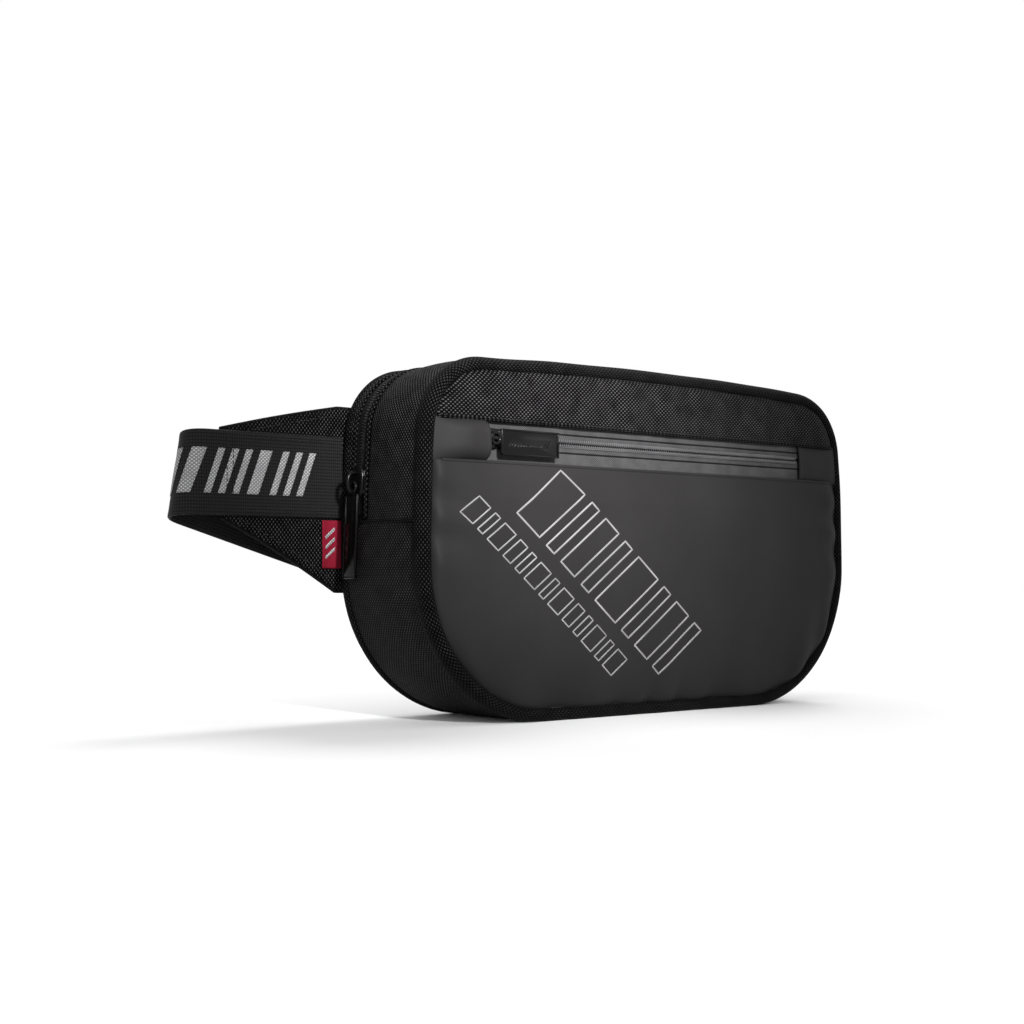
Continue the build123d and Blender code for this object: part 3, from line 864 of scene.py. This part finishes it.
def pocket_zip():
    """Tapes with a cord along each, teeth and sewing of the straight front zip."""
    left, right = coil_lo.x, coil_hi.x
    length = right - left
    for node, low, high in (("pocket_zip_tape_upper", ZIP_Z + 1.2 * MM, BAND_Z + 0.5 * MM),
                            ("pocket_zip_tape_lower", PANEL_Z - 0.5 * MM, ZIP_Z - 1.2 * MM)):
        x = np.linspace(left - 4 * MM, right + 3 * MM, 90)
        z = np.linspace(low, high, 9)
        grid_x, grid_z = np.meshgrid(x, z, indexing="ij")
        ripple = 0.12 * MM * np.sin(grid_x / (9 * MM))
        face_cloth(node + "_cloth", grid_x, FACE_Y - 1.0 * MM + ripple, grid_z, -1, 0.5 * MM, TAPE_GREY_SHEEN,
                   "zip_tape", node)
        edge = low + 3.1 * MM if low > ZIP_Z else high - 3.1 * MM
        route = line_of(x, FACE_Y - 1.05 * MM, edge)
        sew(tube(node + "_cord", route, 0.42 * MM, TAPE), "bag", "zip_tape")
    pitch = 0.66 * MM
    places = []
    for k in range(int(length / pitch)):
        side = 1 if k % 2 else -1
        centre = np.array([left + k * pitch, FACE_Y - 1.75 * MM, ZIP_Z + side * 1.05 * MM])
        places.append((centre, np.array([0.2 * MM, 0, 1.0 * MM]), np.array([pitch * 0.36, 0, 0]),
                       np.array([0, 0.55 * MM, 0])))
    teeth = capsules("pocket_zip_teeth", places, COIL_GREY, 6, 5)
    sew(teeth, "bag", "zip_coil", "pocket_zip_coil")
    for side in (-1, 1):
        route = line_of(np.linspace(left, right, 60), FACE_Y - 1.55 * MM, ZIP_Z + side * 1.75 * MM)
        sewing = stitch_line(route, (0, -1, 0), THREAD_GREY, 1.3 * MM, 0.2 * MM)
        sewing.name = "pocket_zip_sewing_" + ("low" if side < 0 else "high")
        sew(sewing, "bag", "zip_tape")


# ---------------------------------------------------------------- belt, left half
BELT = {joint["name"]: joint for joint in frame["joints"]}
strap_lo, strap_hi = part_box("left_belt_outer")
WEBBING_HALF = (strap_hi.z - strap_lo.z) / 2
WEBBING_THICK = strap_hi.y - strap_lo.y
STRAP_Y = (strap_hi.y + strap_lo.y) / 2
STRAP_Z = (strap_hi.z + strap_lo.z) / 2
FOLD_POINT = Vector(BELT["left_belt_unfold"]["pos_m"])
FOLD_TILT = radians(8.5)
FOLD_RADIUS = FOLD_POINT.y - STRAP_Y
SOCKET_BAR = Vector(BELT["socket_swivel"]["pos_m"])
RUN_LENGTH = 214.0 * MM
BAR_LOOP = 2.65 * MM
TAIL_RUN = 36.0 * MM
SEWN_END = 24.0 * MM
FOLD_LIMITS = ((FOLD_POINT.x, STRAP_Y + 1.2 * MM, STRAP_Z),
               (FOLD_POINT.x, 2 * FOLD_POINT.y - STRAP_Y - 1.2 * MM, STRAP_Z))


def strap_section(count=26, lift=0.16 * MM):
    """Points (across, out) round the webbing: flat faces, round edges and a raised selvedge."""
    points = []
    half, thick = WEBBING_HALF, WEBBING_THICK / 2
    for side in (1, -1):
        for k in range(count):
            v = (half - thick * 0.6) * (1 - 2 * k / (count - 1)) * side
            edge = lift * np.exp(-((half - 1.3 * MM - abs(v)) / (0.7 * MM)) ** 2)
            points.append((v, side * (thick * 0.86 + edge)))
        points.append((-side * half, side * thick * 0.35))
        points.append((-side * half, -side * thick * 0.35))
    return points


def wrapped(u, v, out):
    """Place of the point u along, v across and out from the left strap, folded round the tilt."""
    q = u * cos(FOLD_TILT) + v * sin(FOLD_TILT)
    w = -u * sin(FOLD_TILT) + v * cos(FOLD_TILT)
    turn = min(max(q / FOLD_RADIUS, 0), pi)
    flat = -q if q < 0 else max(q - pi * FOLD_RADIUS, 0)
    radius = FOLD_RADIUS + out
    e = flat - radius * sin(turn)
    y = FOLD_POINT.y - radius * cos(turn)
    x = FOLD_POINT.x + e * cos(FOLD_TILT) + w * sin(FOLD_TILT)
    z = FOLD_POINT.z - e * sin(FOLD_TILT) + w * cos(FOLD_TILT)
    return (x, y, z)


def strap(name, place, route):
    """A webbing strip: place(k, across, out) gives the points of the k-th section of the route."""
    section = strap_section()
    rows = [[place(k, v, out) for v, out in section] for k in range(len(route))]
    across = np.concatenate([[0], np.cumsum(np.hypot(*np.diff(np.array(section), axis=0).T))])
    across = np.append(across, 2 * across[len(section) // 2])
    uvs = [[(u, a) for a in across] for u in route]
    points = np.array(rows)
    points = np.concatenate([points, points[:, :1]], axis=1)
    obj = grid(name, points, uvs)
    mend(obj, weld=WELD, fill=True)
    finish_mesh(obj.data, 50)
    return dress(obj, WEBBING)


def run_frame():
    """Directions along and across the folded back run."""
    slope = 2 * FOLD_TILT
    return Vector((cos(slope), 0, -sin(slope))), Vector((sin(slope), 0, cos(slope)))


def left_belt():
    """The webbing from the wing's root round the fold to the socket's bar, looped and sewn back there."""
    root = FOLD_POINT.x - strap_hi.x
    along, across = run_frame()
    straight = np.concatenate([np.arange(root - 4 * MM, -12 * MM, 3 * MM),
                               np.arange(-12 * MM, 40 * MM, 0.9 * MM)])
    end_u = RUN_LENGTH + pi * FOLD_RADIUS / cos(FOLD_TILT)
    straight = np.concatenate([straight, np.arange(40 * MM, end_u - 3 * MM, 3 * MM)])
    tails = np.linspace(0, 1, 26)
    route = np.concatenate([straight, end_u + tails * TAIL_RUN])
    behind = Vector((0, 1, 0))
    turn_share = 0.34

    def place(k, v, out):
        if k < len(straight):
            return wrapped(straight[k], v, out)
        t = tails[k - len(straight)]
        if t < turn_share:
            angle = -pi * 0.75 + t / turn_share * 1.5 * pi
            radius = BAR_LOOP + out
            spot = SOCKET_BAR + along * radius * cos(angle) + behind * radius * sin(angle)
        else:
            back = (t - turn_share) / (1 - turn_share)
            lift = WEBBING_THICK * 1.05 + 0.7 * MM * np.exp(-back * 6)
            spot = SOCKET_BAR - along * (2.2 * MM + back * SEWN_END) + behind * (lift + out)
        return tuple(spot + across * v)

    belt = strap("left_belt_webbing", place, route)
    bend(belt, ("left_wing", "belt_run"), FOLD_LIMITS, "webbing",
         "left_belt_outer", "left_belt_fold", "left_belt_return")
    seams = []
    for v in (-WEBBING_HALF + 2.6 * MM, WEBBING_HALF - 2.6 * MM):
        line = [wrapped(u, v, 0.76 * MM) for u in np.arange(root + 6 * MM, -20 * MM, 1.5 * MM)]
        seams.append(stitch_line(line, (0, -1, 0), THREAD))
    sew(join("left_belt_sewing", seams), "left_wing", "webbing")
    near, far, half = -6 * MM, -SEWN_END, 15 * MM
    crossed = [(near, -half), (far, -half), (far, half), (near, half),
               (near, -half), (far, half), (near, half), (far, -half)]
    corners = [SOCKET_BAR + along * a + across * b + behind * 2.55 * MM for a, b in crossed]
    dense = []
    for p, q in zip(corners[:-1], corners[1:]):
        dense += [tuple(p.lerp(q, t)) for t in np.linspace(0, 1, 12)]
    sew(join("left_belt_box_stitch", [stitch_line(dense, (0, 1, 0), THREAD)]), "belt_run", "webbing")
    woven_bars()


def woven_bars():
    """Generic slanted bars woven in pale yarn along the strap, carried round the fold."""
    low, high, lean = -9.2 * MM, 10.8 * MM, 0.36
    pieces = []
    bars = [(-50.0, 3.4), (-43.0, 3.4), (-36.0, 3.4), (-27.0, 6.0), (-17.0, 3.4), (-10.0, 3.4), (-3.0, 3.4),
            (6.0, 6.0), (16.0, 3.4)]
    for start, width in bars:
        rows, uv = [], []
        for t in np.linspace(0, 1, 16):
            v = low + (high - low) * t
            row, line = [], []
            for s in np.linspace(0, 1, 7):
                u = start * MM + s * width * MM - lean * (v - low)
                row.append(wrapped(u, v, WEBBING_THICK / 2 + 0.07 * MM))
                line.append((u, v))
            rows.append(row)
            uv.append(line)
        bar = grid("bar", rows, uv)
        pieces.append(dress(solidify(bar, 0.22 * MM, 0.0), WHITE_YARN))
    obj = join("woven_bars", pieces)
    mend(obj)
    bend(obj, ("left_wing", "belt_run"), FOLD_LIMITS, "webbing")


# ---------------------------------------------------------------- wings
WING_SAG = 1.4 * MM
TIP_LOW = STRAP_Z - WEBBING_HALF - 0.4 * MM
TIP_HIGH = STRAP_Z + WEBBING_HALF + 0.6 * MM
PLUG_BAR = Vector(BELT["plug_swivel"]["pos_m"])
RIGHT_STRAP_Y = PLUG_BAR.y - BAR_LOOP


def wing_path(side, depth, front, tip_x):
    """x and y along a wing from inside the seam to the tip, at this depth behind its front face."""
    laid = front + depth + 0.15 * MM
    if side < 0:
        return [(x, laid) for x in np.linspace(-HALF_WIDTH + 1.5 * MM, tip_x, 44)]
    hinge = Vector(BELT["right_wing_swing"]["pos_m"])
    root_y = REAR_Y - 1.3 * MM + 0.2 * depth
    points = [(x, root_y) for x in np.linspace(HALF_WIDTH - 1.5 * MM, hinge.x - 0.4 * MM, 5)]
    reach = 0.9 * MM + depth
    for a in np.linspace(-pi / 2 + 0.2, pi / 2, 9):
        points.append((hinge.x - 0.3 * MM + 0.8 * reach * cos(a), hinge.y + 0.35 * MM + 0.9 * reach * sin(a)))
    return points + [(x, laid) for x in np.linspace(hinge.x - 3 * MM, tip_x, 36)]


def wing_edges(path, lo, hi):
    """For each point of the path: share of the way to the tip, arc length, lowest and highest z."""
    run = np.concatenate([[0], np.cumsum(np.hypot(*np.diff(np.array(path), axis=0).T))])
    share = np.clip((run - (run[-1] - (hi.x - lo.x))) / (hi.x - lo.x), 0, 1)
    sag = WING_SAG * np.sin(pi * share)
    low = lo.z + (TIP_LOW - lo.z) * share + sag
    high = hi.z + (TIP_HIGH - hi.z) * share + 0.4 * sag
    return share, run, low, high


def wing_layer(name, side, layer, path, edges, material):
    """One cloth of a wing, slightly swollen between its bound edges."""
    rows, uvs = [], []
    for (x, y), t, r, low, high in zip(path, *edges):
        line, uv = [], []
        for v in np.linspace(0, 1, 34):
            edge = min(v, 1 - v) * (high - low)
            swell = 0.45 * MM * (1 - np.exp(-edge / (3 * MM))) * min(1, t * 8) * (1 - t)
            if side < 0:
                push = -swell if layer == "outer" else swell
            else:
                push = swell * 0.4 if layer == "outer" else -swell * 0.3
            z = low + (high - low) * v
            line.append((x, y + push, z))
            uv.append((z, r))
        rows.append(line)
        uvs.append(uv)
    cloth = grid(name + "_wing_" + layer + "_cloth", rows, uvs)
    solidify(cloth, 0.9 * MM, 0.0)
    mend(cloth)
    return dress(cloth, material)


def wing(side):
    """Two layers of cloth, bound along both edges, that come out of the bag's rear seam."""
    name = "left" if side < 0 else "right"
    body = name + "_wing"
    near, far = ("outer", "inner") if side < 0 else ("inner", "outer")
    lo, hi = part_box(name + "_wing_" + near)
    far_lo, far_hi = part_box(name + "_wing_" + far)
    hinge = Vector(BELT[name + "_wing_swing"]["pos_m"])
    if side < 0:
        limits = ((hinge.x + 2.6 * MM, hinge.y, 0.1), (hinge.x - 3.4 * MM, hinge.y, 0.1))
    else:
        limits = ((hinge.x, REAR_Y - 0.6 * MM, 0.1), (hinge.x, lo.y - 0.5 * MM, 0.1))
    for layer, depth in ((near, 0.0), (far, far_lo.y - lo.y)):
        path = wing_path(side, depth, lo.y, lo.x)
        cloth = wing_layer(name, side, layer, path, wing_edges(path, lo, hi),
                           NYLON if layer == "outer" else SPACER)
        bend(cloth, ("bag", body), limits, "ballistic_nylon" if layer == "outer" else "mesh",
             name + "_wing_" + layer)
    path = wing_path(side, (far_hi.y - lo.y) / 2, lo.y, lo.x)
    share, _, lows, highs = wing_edges(path, lo, hi)
    face = lo.y - 0.62 * MM if side < 0 else far_hi.y + 0.5 * MM
    outward = (0, side, 0)
    first = 0 if side < 0 else 8
    edges, sewing = [], []
    for ends, inward in ((lows, 3.4 * MM), (highs, -3.4 * MM)):
        line = [(x, y - 0.1 * MM, z) for (x, y), z in zip(path, ends)]
        thread = [(x, face, z + inward) for (x, y), z, t in zip(path, ends, share) if t > 0.04]
        edges.append(tube("edge", line[first:], 1.75 * MM, BINDING, flat=0.62, up=(0, 0, 1)))
        sewing.append(stitch_line(thread, outward, THREAD))
    binding = join(name + "_wing_binding_tape", edges)
    bend(binding, ("bag", body), limits, "binding", name + "_wing_binding")
    sew(join(name + "_wing_sewing", sewing), body, "binding")
    cross = []
    y = (STRAP_Y if side < 0 else RIGHT_STRAP_Y) + side * (WEBBING_THICK / 2 + 0.05 * MM)
    zs = np.linspace(STRAP_Z - WEBBING_HALF + 1.5 * MM, STRAP_Z + WEBBING_HALF - 1.5 * MM, 20)
    for off in (1.6 * MM, 4.6 * MM):
        cross.append(stitch_line(line_of(lo.x + off, y, zs), outward, THREAD))
    sew(join(name + "_wing_tip_sewing", cross), body, "webbing")


# ---------------------------------------------------------------- belt, right half
_, tail_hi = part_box("right_belt")
keeper_lo, keeper_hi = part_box("belt_keeper")
TAIL_END = 52.0 * MM


def right_belt():
    """One webbing: from the wing to the plug's bar, round it, and back as the adjusting tail."""
    path = [(x, RIGHT_STRAP_Y) for x in np.arange(tail_hi.x, PLUG_BAR.x, -3 * MM)]
    for a in np.linspace(-pi / 2, -3 * pi / 2, 16):
        path.append((PLUG_BAR.x + BAR_LOOP * cos(a), PLUG_BAR.y + BAR_LOOP * sin(a)))
    top = PLUG_BAR.y + BAR_LOOP
    for x in np.arange(PLUG_BAR.x + 2 * MM, TAIL_END, 3 * MM):
        dip = 1 - 0.45 * sin(pi * min(1, (x - PLUG_BAR.x) / (TAIL_END - PLUG_BAR.x)))
        path.append((x, RIGHT_STRAP_Y + (top - RIGHT_STRAP_Y) * dip))
    points = np.array(path)
    tangent = np.gradient(points, axis=0)
    tangent /= np.linalg.norm(tangent, axis=1)[:, None]
    normal = np.stack([-tangent[:, 1], tangent[:, 0]], axis=1)
    run = np.concatenate([[0], np.cumsum(np.hypot(*np.diff(points, axis=0).T))])

    def place(k, v, out):
        x, y = points[k] + normal[k] * out
        return (x, y, STRAP_Z + v)

    belt = strap("right_belt_webbing", place, list(run))
    sew(belt, "right_wing", "webbing", "right_belt")
    fold = []
    for k in range(3):
        line = line_of(TAIL_END - (2 + 2 * k) * MM, points[-1 - k, 1] + WEBBING_THICK / 2 + 0.1 * MM,
                       np.linspace(STRAP_Z - 17 * MM, STRAP_Z + 17 * MM, 20))
        fold.append(stitch_line(line, (0, 1, 0), THREAD, 2.4 * MM))
    sew(join("right_tail_sewing", fold), "right_wing", "webbing")


def keeper():
    """Elastic band round both layers of the strap, with soft corners and ribs along it."""
    lo, hi = keeper_lo, keeper_hi
    thick = 1.1 * MM
    half_y, half_z = (hi.y - lo.y) / 2 - thick / 2, (hi.z - lo.z) / 2 - thick / 2
    cy, cz = (hi.y + lo.y) / 2, (hi.z + lo.z) / 2
    radius = 1.6 * MM
    ring = rounded(2 * half_z, 2 * half_y, radius, 6)
    rows = []
    for x in np.linspace(lo.x, hi.x, 15):
        squeeze = 0.25 * MM * sin(pi * (x - lo.x) / (hi.x - lo.x))
        rows.append([(x, cy + b * (1 - squeeze / half_y), cz + a) for a, b in ring])
    obj = grid("belt_keeper_band", rows, close_v=True)
    flip_outward(obj, ((lo.x + hi.x) / 2, cy, cz))
    solidify(obj, thick, 0.0)
    dress(obj, ELASTIC)
    sew(obj, "keeper", "elastic", "belt_keeper")


# ---------------------------------------------------------------- label
def side_label():
    """Red woven label in the wing's seam, with three plain slanted stripes."""
    lo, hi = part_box("side_label")

    def woven(name, x, z, lift, thickness, material):
        """A piece of the label, which curls forward at its free edge."""
        curl = np.clip((lo.x + 4 * MM - x) / (5 * MM), 0, 1) ** 2 * 0.9 * MM
        y = (lo.y + hi.y) / 2 - 0.4 * MM - curl - 0.15 * MM * np.sin((z - lo.z) / (4 * MM)) - lift
        obj = grid(name, line_of(x, y, z), np.stack([x, z], axis=2))
        return dress(solidify(obj, thickness, 0.0), material)

    x, z = np.meshgrid(np.linspace(lo.x - 0.6 * MM, hi.x + 3.4 * MM, 14), np.linspace(lo.z, hi.z, 22),
                       indexing="ij")
    parts = [woven("label", x, z, 0.0, 0.55 * MM, RED)]
    t, s = np.meshgrid(np.linspace(0, 1, 12), np.linspace(0, 1, 5), indexing="ij")
    for k in range(3):
        low = lo.z + (4.2 + 4.6 * k) * MM
        parts.append(woven("stripe", lo.x + 1.2 * MM + t * 5.2 * MM, low + s * 1.6 * MM + t * 4.2 * MM,
                           0.34 * MM, 0.12 * MM, WHITE_YARN))
    label = join("side_label_woven", parts)
    mend(label)
    sew(label, "left_wing", "label_cloth", "side_label")


# ---------------------------------------------------------------- zip sliders and pulls
def slider_frames():
    """Matrices that put local x along the zip towards the pull and local z away from the bag."""
    result = {}
    for key, travel, swing, sign in (("main", "main_slider_travel", "main_pull_swing", -1),
                                     ("front", "front_slider_travel", "front_pull_swing", 1)):
        axis = Vector(BELT[travel]["axis"]).normalized() * sign
        pin = Vector(BELT[swing]["pos_m"])
        y_dir = -Vector(BELT[swing]["axis"]).normalized()
        z_dir = axis.cross(y_dir).normalized()
        origin = pin - z_dir * 3.0 * MM
        matrix = Matrix((axis, y_dir, z_dir)).transposed().to_4x4()
        matrix.translation = origin
        result[key] = matrix
    return result


def slider(key, matrix):
    """Die-cast slider: a waisted plate with turned-down flanges and an arched bridge."""
    mm = MM
    half = [(-6.0, 2.6), (-5.0, 3.9), (-2.0, 4.5), (2.5, 4.5), (5.2, 3.7), (6.2, 1.9)]
    waisted = half + [(x, -y) for x, y in half[::-1]] + [(-5.4, -0.9), (-4.9, 0.0), (-5.4, 0.9)]
    parts = [plate("top", [(x * mm, y * mm) for x, y in waisted], 0.05 * mm, 1.6 * mm, matrix, 0.45 * mm)]
    for side in (-1, 1):
        flange = [(-4.6, 3.5 * side), (-4.6, 4.5 * side), (4.6, 4.5 * side), (4.6, 3.5 * side)]
        parts.append(plate("flange", [(x * mm, y * mm) for x, y in flange], -1.5 * mm, 0.9 * mm, matrix,
                           0.3 * mm, 2))
    tall = 3.9 if key == "main" else 2.75
    arch = []
    for t in np.linspace(0, 1, 22):
        a = pi * t
        arch.append((-3.7 * cos(a) * mm, 0, (1.1 + tall * sin(a) ** 0.55) * mm))
    bridge = tube("bridge", arch, 0.95 * mm, ENAMEL, sides=12, flat=0.85, up=(0, 1, 0))
    bridge.data.transform(Matrix.Diagonal((1, 1.25, 1, 1)))
    bridge.data.transform(matrix)
    parts.append(bridge)
    size = 1.22 if key == "main" else 1.0
    grow = matrix @ Matrix.Diagonal((size, size, size * 0.98, 1)) @ matrix.inverted()
    for part in parts:
        dress(part, ENAMEL)
        part.data.transform(grow)
    obj = join(key + "_slider_body", parts)
    return sew(obj, key + "_slider", "slider_enamel", key + "_zip_slider")


def pull(key, matrix, length, width, marks, drop=0.0):
    """Pull tab with a fork round the bridge, a raised border and a row of plain slanted ridges."""
    mm = MM
    pin = matrix @ Matrix.Translation(Vector((0, 0, 3.0 * mm)))
    place = pin @ Matrix.Translation(Vector((0, -drop, 0)))
    half = 0.8 * mm
    parts = []
    start = 5.2 * mm
    body = rounded(length + 0.4 * mm, width, 1.1 * mm, 4, start)
    parts.append(plate("tab", body, -half + 0.15 * mm, half - 0.25 * mm, place, 0.22 * mm, 2))
    border = 0.75 * mm
    x0, x1, h = start + 0.2 * mm, start + length + 0.2 * mm, width / 2 - 0.1 * mm
    for a, b, c, d in ((x0, x1, h - border, h), (x0, x1, -h, border - h),
                       (x1 - border, x1, -h, h), (x0, x0 + border, -h, h)):
        bar = [(a, c), (a, d), (b, d), (b, c)]
        parts.append(plate("bar", bar, half - 0.3 * mm, half + 0.1 * mm, place, 0.12 * mm, 2))
    first = start + length * 0.16
    step = length * 0.7 / marks
    for k in range(marks):
        x = first + k * step
        w, s, lean = step * 0.42, width * 0.16, width * 0.1
        ridge = [(x - lean, -s), (x + w - lean, -s), (x + w + lean, s), (x + lean, s)]
        parts.append(plate("ridge", ridge, half - 0.3 * mm, half + 0.02 * mm, place, 0.06 * mm, 2))
    fork = [(2.4 * mm * (1 - cos(t)), 2.45 * mm * sin(t), 0.0) for t in np.linspace(0, 2 * pi, 30)]
    ring = tube("ring", fork, 0.85 * mm, ENAMEL, sides=12)
    ring.data.transform(pin)
    parts.append(ring)
    for part in parts:
        dress(part, ENAMEL)
    obj = join(key + "_pull_tab_plate", parts)
    return sew(obj, key + "_pull", "slider_enamel", key + "_pull_tab")


def zip_hardware():
    """Both sliders with their pulls; the front pull hangs a little below its slider's middle."""
    frames = slider_frames()
    slider("main", frames["main"])
    pull("main", frames["main"], length=39 * MM, width=10 * MM, marks=16)
    slider("front", frames["front"])
    pull("front", frames["front"], length=34 * MM, width=12 * MM, marks=14, drop=1.6 * MM)


# ---------------------------------------------------------------- printed motif on the pocket
PRINT_TURN = radians(-40)


def slanted_bar(u, width, height, lean):
    """Corners of one outlined parallelogram in the print's own directions."""
    w, h, s = width / 2, height / 2, lean * height / 2
    return [(u - w - s, -h), (u + w - s, -h), (u + w + s, h), (u - w + s, h)]


def ribbon(corners, origin, thickness):
    """A thin raised outline that follows the pillowed cloth."""
    c, s = cos(PRINT_TURN), sin(PRINT_TURN)
    path = []
    for (u0, v0), (u1, v1) in zip(corners, corners[1:] + corners[:1]):
        steps = max(3, int(hypot(u1 - u0, v1 - v0) / (1.4 * MM)))
        for t in np.linspace(0, 1, steps, endpoint=False):
            path.append((u0 + (u1 - u0) * t, v0 + (v1 - v0) * t))
    path = np.array(path + path[:2])
    x = origin[0] + path[:, 0] * c - path[:, 1] * s
    z = origin[1] + path[:, 0] * s + path[:, 1] * c
    keep = (z < PANEL_Z - 2.0 * MM) & (edge_distance(x, z, RIM) > 3.0 * MM) & inside(x, z)
    pieces, run = [], []
    for k in range(len(path)):
        if keep[k]:
            run.append((x[k], z[k]))
        if (not keep[k] or k == len(path) - 1) and len(run) > 3:
            across, up = np.array(run).T
            points = line_of(across, panel_y(across, up) - 0.05 * MM, up)
            pieces.append(tube("line", points, thickness, INK, sides=8, flat=0.3, up=(0, 1, 0)))
        if not keep[k]:
            run = []
    return pieces


def inside(x, z):
    """Which points in the front plane lie within the rim."""
    low, high = column_limits(x, RIM)
    return (z > low) & (z < high)


def printed_motif():
    """Two slanted rows of plain outlined bars of mixed widths."""
    pieces = []
    # each row: start on the panel, height, gap, thickness of the line, widths of its bars in mm
    large = ((-73 * MM, 100 * MM), 34 * MM, 5.5 * MM, 0.46 * MM, (17, 6, 11, 6, 17, 6, 11, 6))
    small = ((-113 * MM, 93 * MM), 12 * MM, 3.4 * MM, 0.36 * MM,
             (8, 3.5, 8, 5.5, 3.5, 8, 3.5, 8, 5.5, 3.5, 8, 3.5, 8))
    for origin, height, gap, thickness, widths in (large, small):
        at = -9 * MM
        for width in widths:
            middle = at + width * MM / 2
            pieces += ribbon(slanted_bar(middle, width * MM, height, lean=0.25), origin, thickness)
            at += width * MM + gap
    sew(join("printed_motif", pieces), "bag", "coated_fabric")


# ---------------------------------------------------------------- back
def back_panel():
    """Padded back: spacer mesh with sewn channels that sinks into the seam all round."""
    x, z = front_grid(RIM - 1.2 * MM, None, None, 150, 100)
    d = edge_distance(x, z, RIM)
    full = 1 - np.exp(-d / (5 * MM))
    fade = 1 - np.exp(-d / (9 * MM))
    crown = np.ones_like(x)
    for centre in (-48 * MM, 0.0, 48 * MM):
        lean = (z - HEIGHT / 2) * 0.22 * np.sign(centre)
        crown -= 0.75 * fade * np.exp(-((x - centre - lean) / (2.2 * MM)) ** 2)
    y = REAR_Y - 2.2 * MM + 2.1 * MM * full * crown
    panel = face_cloth("back_panel_cloth", x, y, z, 1, 1.2 * MM, SPACER, "mesh", "back_panel")


def softened(node, body):
    """The moulded buckle parts: the CAD shape with rounded edges."""
    mesh = frame["nodes"][node].data.copy()
    obj = collection_link(node + "_moulded", mesh)
    obj.matrix_world = frame["nodes"][node].matrix_world.copy()
    bm = bmesh.new()
    bm.from_mesh(mesh)
    bmesh.ops.remove_doubles(bm, verts=bm.verts, dist=1e-6)
    bmesh.ops.dissolve_limit(bm, angle_limit=radians(2), verts=bm.verts, edges=bm.edges)
    bm.to_mesh(mesh)
    bm.free()
    bevel(obj, 0.55 * MM, 3)
    dress(obj, ACETAL)
    return sew(obj, body, "buckle_plastic", node)


def carried_over():
    """CAD nodes that stay as they are, with a better finish."""
    finish = {"back_foam": FOAM, "side_lining": LINING, "front_lining": LINING, "back_lining": LINING,
              "inner_slip_pocket": LINING, "inner_pocket_hem": BINDING, "pocket_backing": LINING}
    for node, material in finish.items():
        dress(frame["nodes"][node], material)


# ---------------------------------------------------------------- camera, lights and floor
def camera():
    """Front left of the bag, a little above the floor and looking up by a few degrees."""
    data = bpy.data.cameras.new("camera")
    data.sensor_width = 36.0
    data.lens = 54.14
    data.clip_start = 0.01
    obj = collection_link("camera", data)
    obj.location = (-0.5359, -0.5763, 0.0652)
    obj.rotation_euler = (radians(90 + 2.52), 0, radians(-39.2))
    bpy.context.scene.camera = obj


def lamp(kind, name, place, target, power, **settings):
    """A light at place that shines towards target."""
    data = bpy.data.lights.new(name, kind)
    data.energy = power
    for key, value in settings.items():
        setattr(data, key, value)
    obj = collection_link(name, data)
    obj.location = place
    obj.rotation_euler = (Vector(target) - Vector(place)).to_track_quat("-Z", "Y").to_euler()


def studio():
    """White surroundings, a pale floor and three lights."""
    scene = bpy.context.scene
    world = bpy.data.worlds.new("studio")
    scene.world = world
    world.use_nodes = True
    background = world.node_tree.nodes["Background"]
    background.inputs[0].default_value = (1.0, 1.0, 1.0, 1)
    background.inputs[1].default_value = 1.0
    mesh = bpy.data.meshes.new("floor")
    reach = 6.0
    mesh.from_pydata([(-reach, -reach, 0), (reach, -reach, 0), (reach, reach, 0), (-reach, reach, 0)],
                     [], [(0, 1, 2, 3)])
    floor = collection_link("floor", mesh)
    floor.location.z = -0.0003
    shader = Shader("pale_floor", (0.84, 0.84, 0.84), 0.85, Specular_IOR_Level=0.2)
    shader.roughness(shader.noise(3, 2), 0.7, 0.8)
    mesh.materials.append(shader.material)
    # a snooted key on the bag alone, a sun from behind for the floor's shadow and a weak light on the edge
    lamp("SPOT", "key", (-0.30, -0.78, 0.42), (-0.05, -0.03, 0.135), 130, spot_size=radians(20.5),
         spot_blend=1.0, shadow_soft_size=0.06)
    lamp("SUN", "sky", (0.55, 0.25, 0.9), (0, 0, 0), 1.15, angle=radians(22))
    lamp("AREA", "edge", (0.7, -0.8, 0.3), (0, 0, 0.09), 0.6, size=0.3)
    scene.view_settings.view_transform = "Standard"
    scene.view_settings.look = "None"


gussets()
rim("front_rim", FRONT_Y, -1, "front_piping", radius=3.6 * MM, depth=5.0 * MM, centre=2.9 * MM,
    wrinkle=0.5 * MM)
rim("rear_rim", REAR_Y, 1, "rear_piping", radius=3.4 * MM, depth=3.4 * MM, centre=2.8 * MM, wrinkle=0.2 * MM)
main_zip()
pocket_panel()
top_band()
front_backing()
pocket_flap("pocket_flap_left")
pocket_flap("pocket_flap_right")
pocket_zip()
printed_motif()
left_belt()
wing(-1)
wing(1)
right_belt()
keeper()
side_label()
zip_hardware()
back_panel()
for part, carrier in (("buckle_socket", "socket"), ("buckle_plug", "plug"),
                      ("buckle_prong_upper", "prong_upper"), ("buckle_prong_lower", "prong_lower")):
    softened(part, carrier)
carried_over()
camera()
studio()
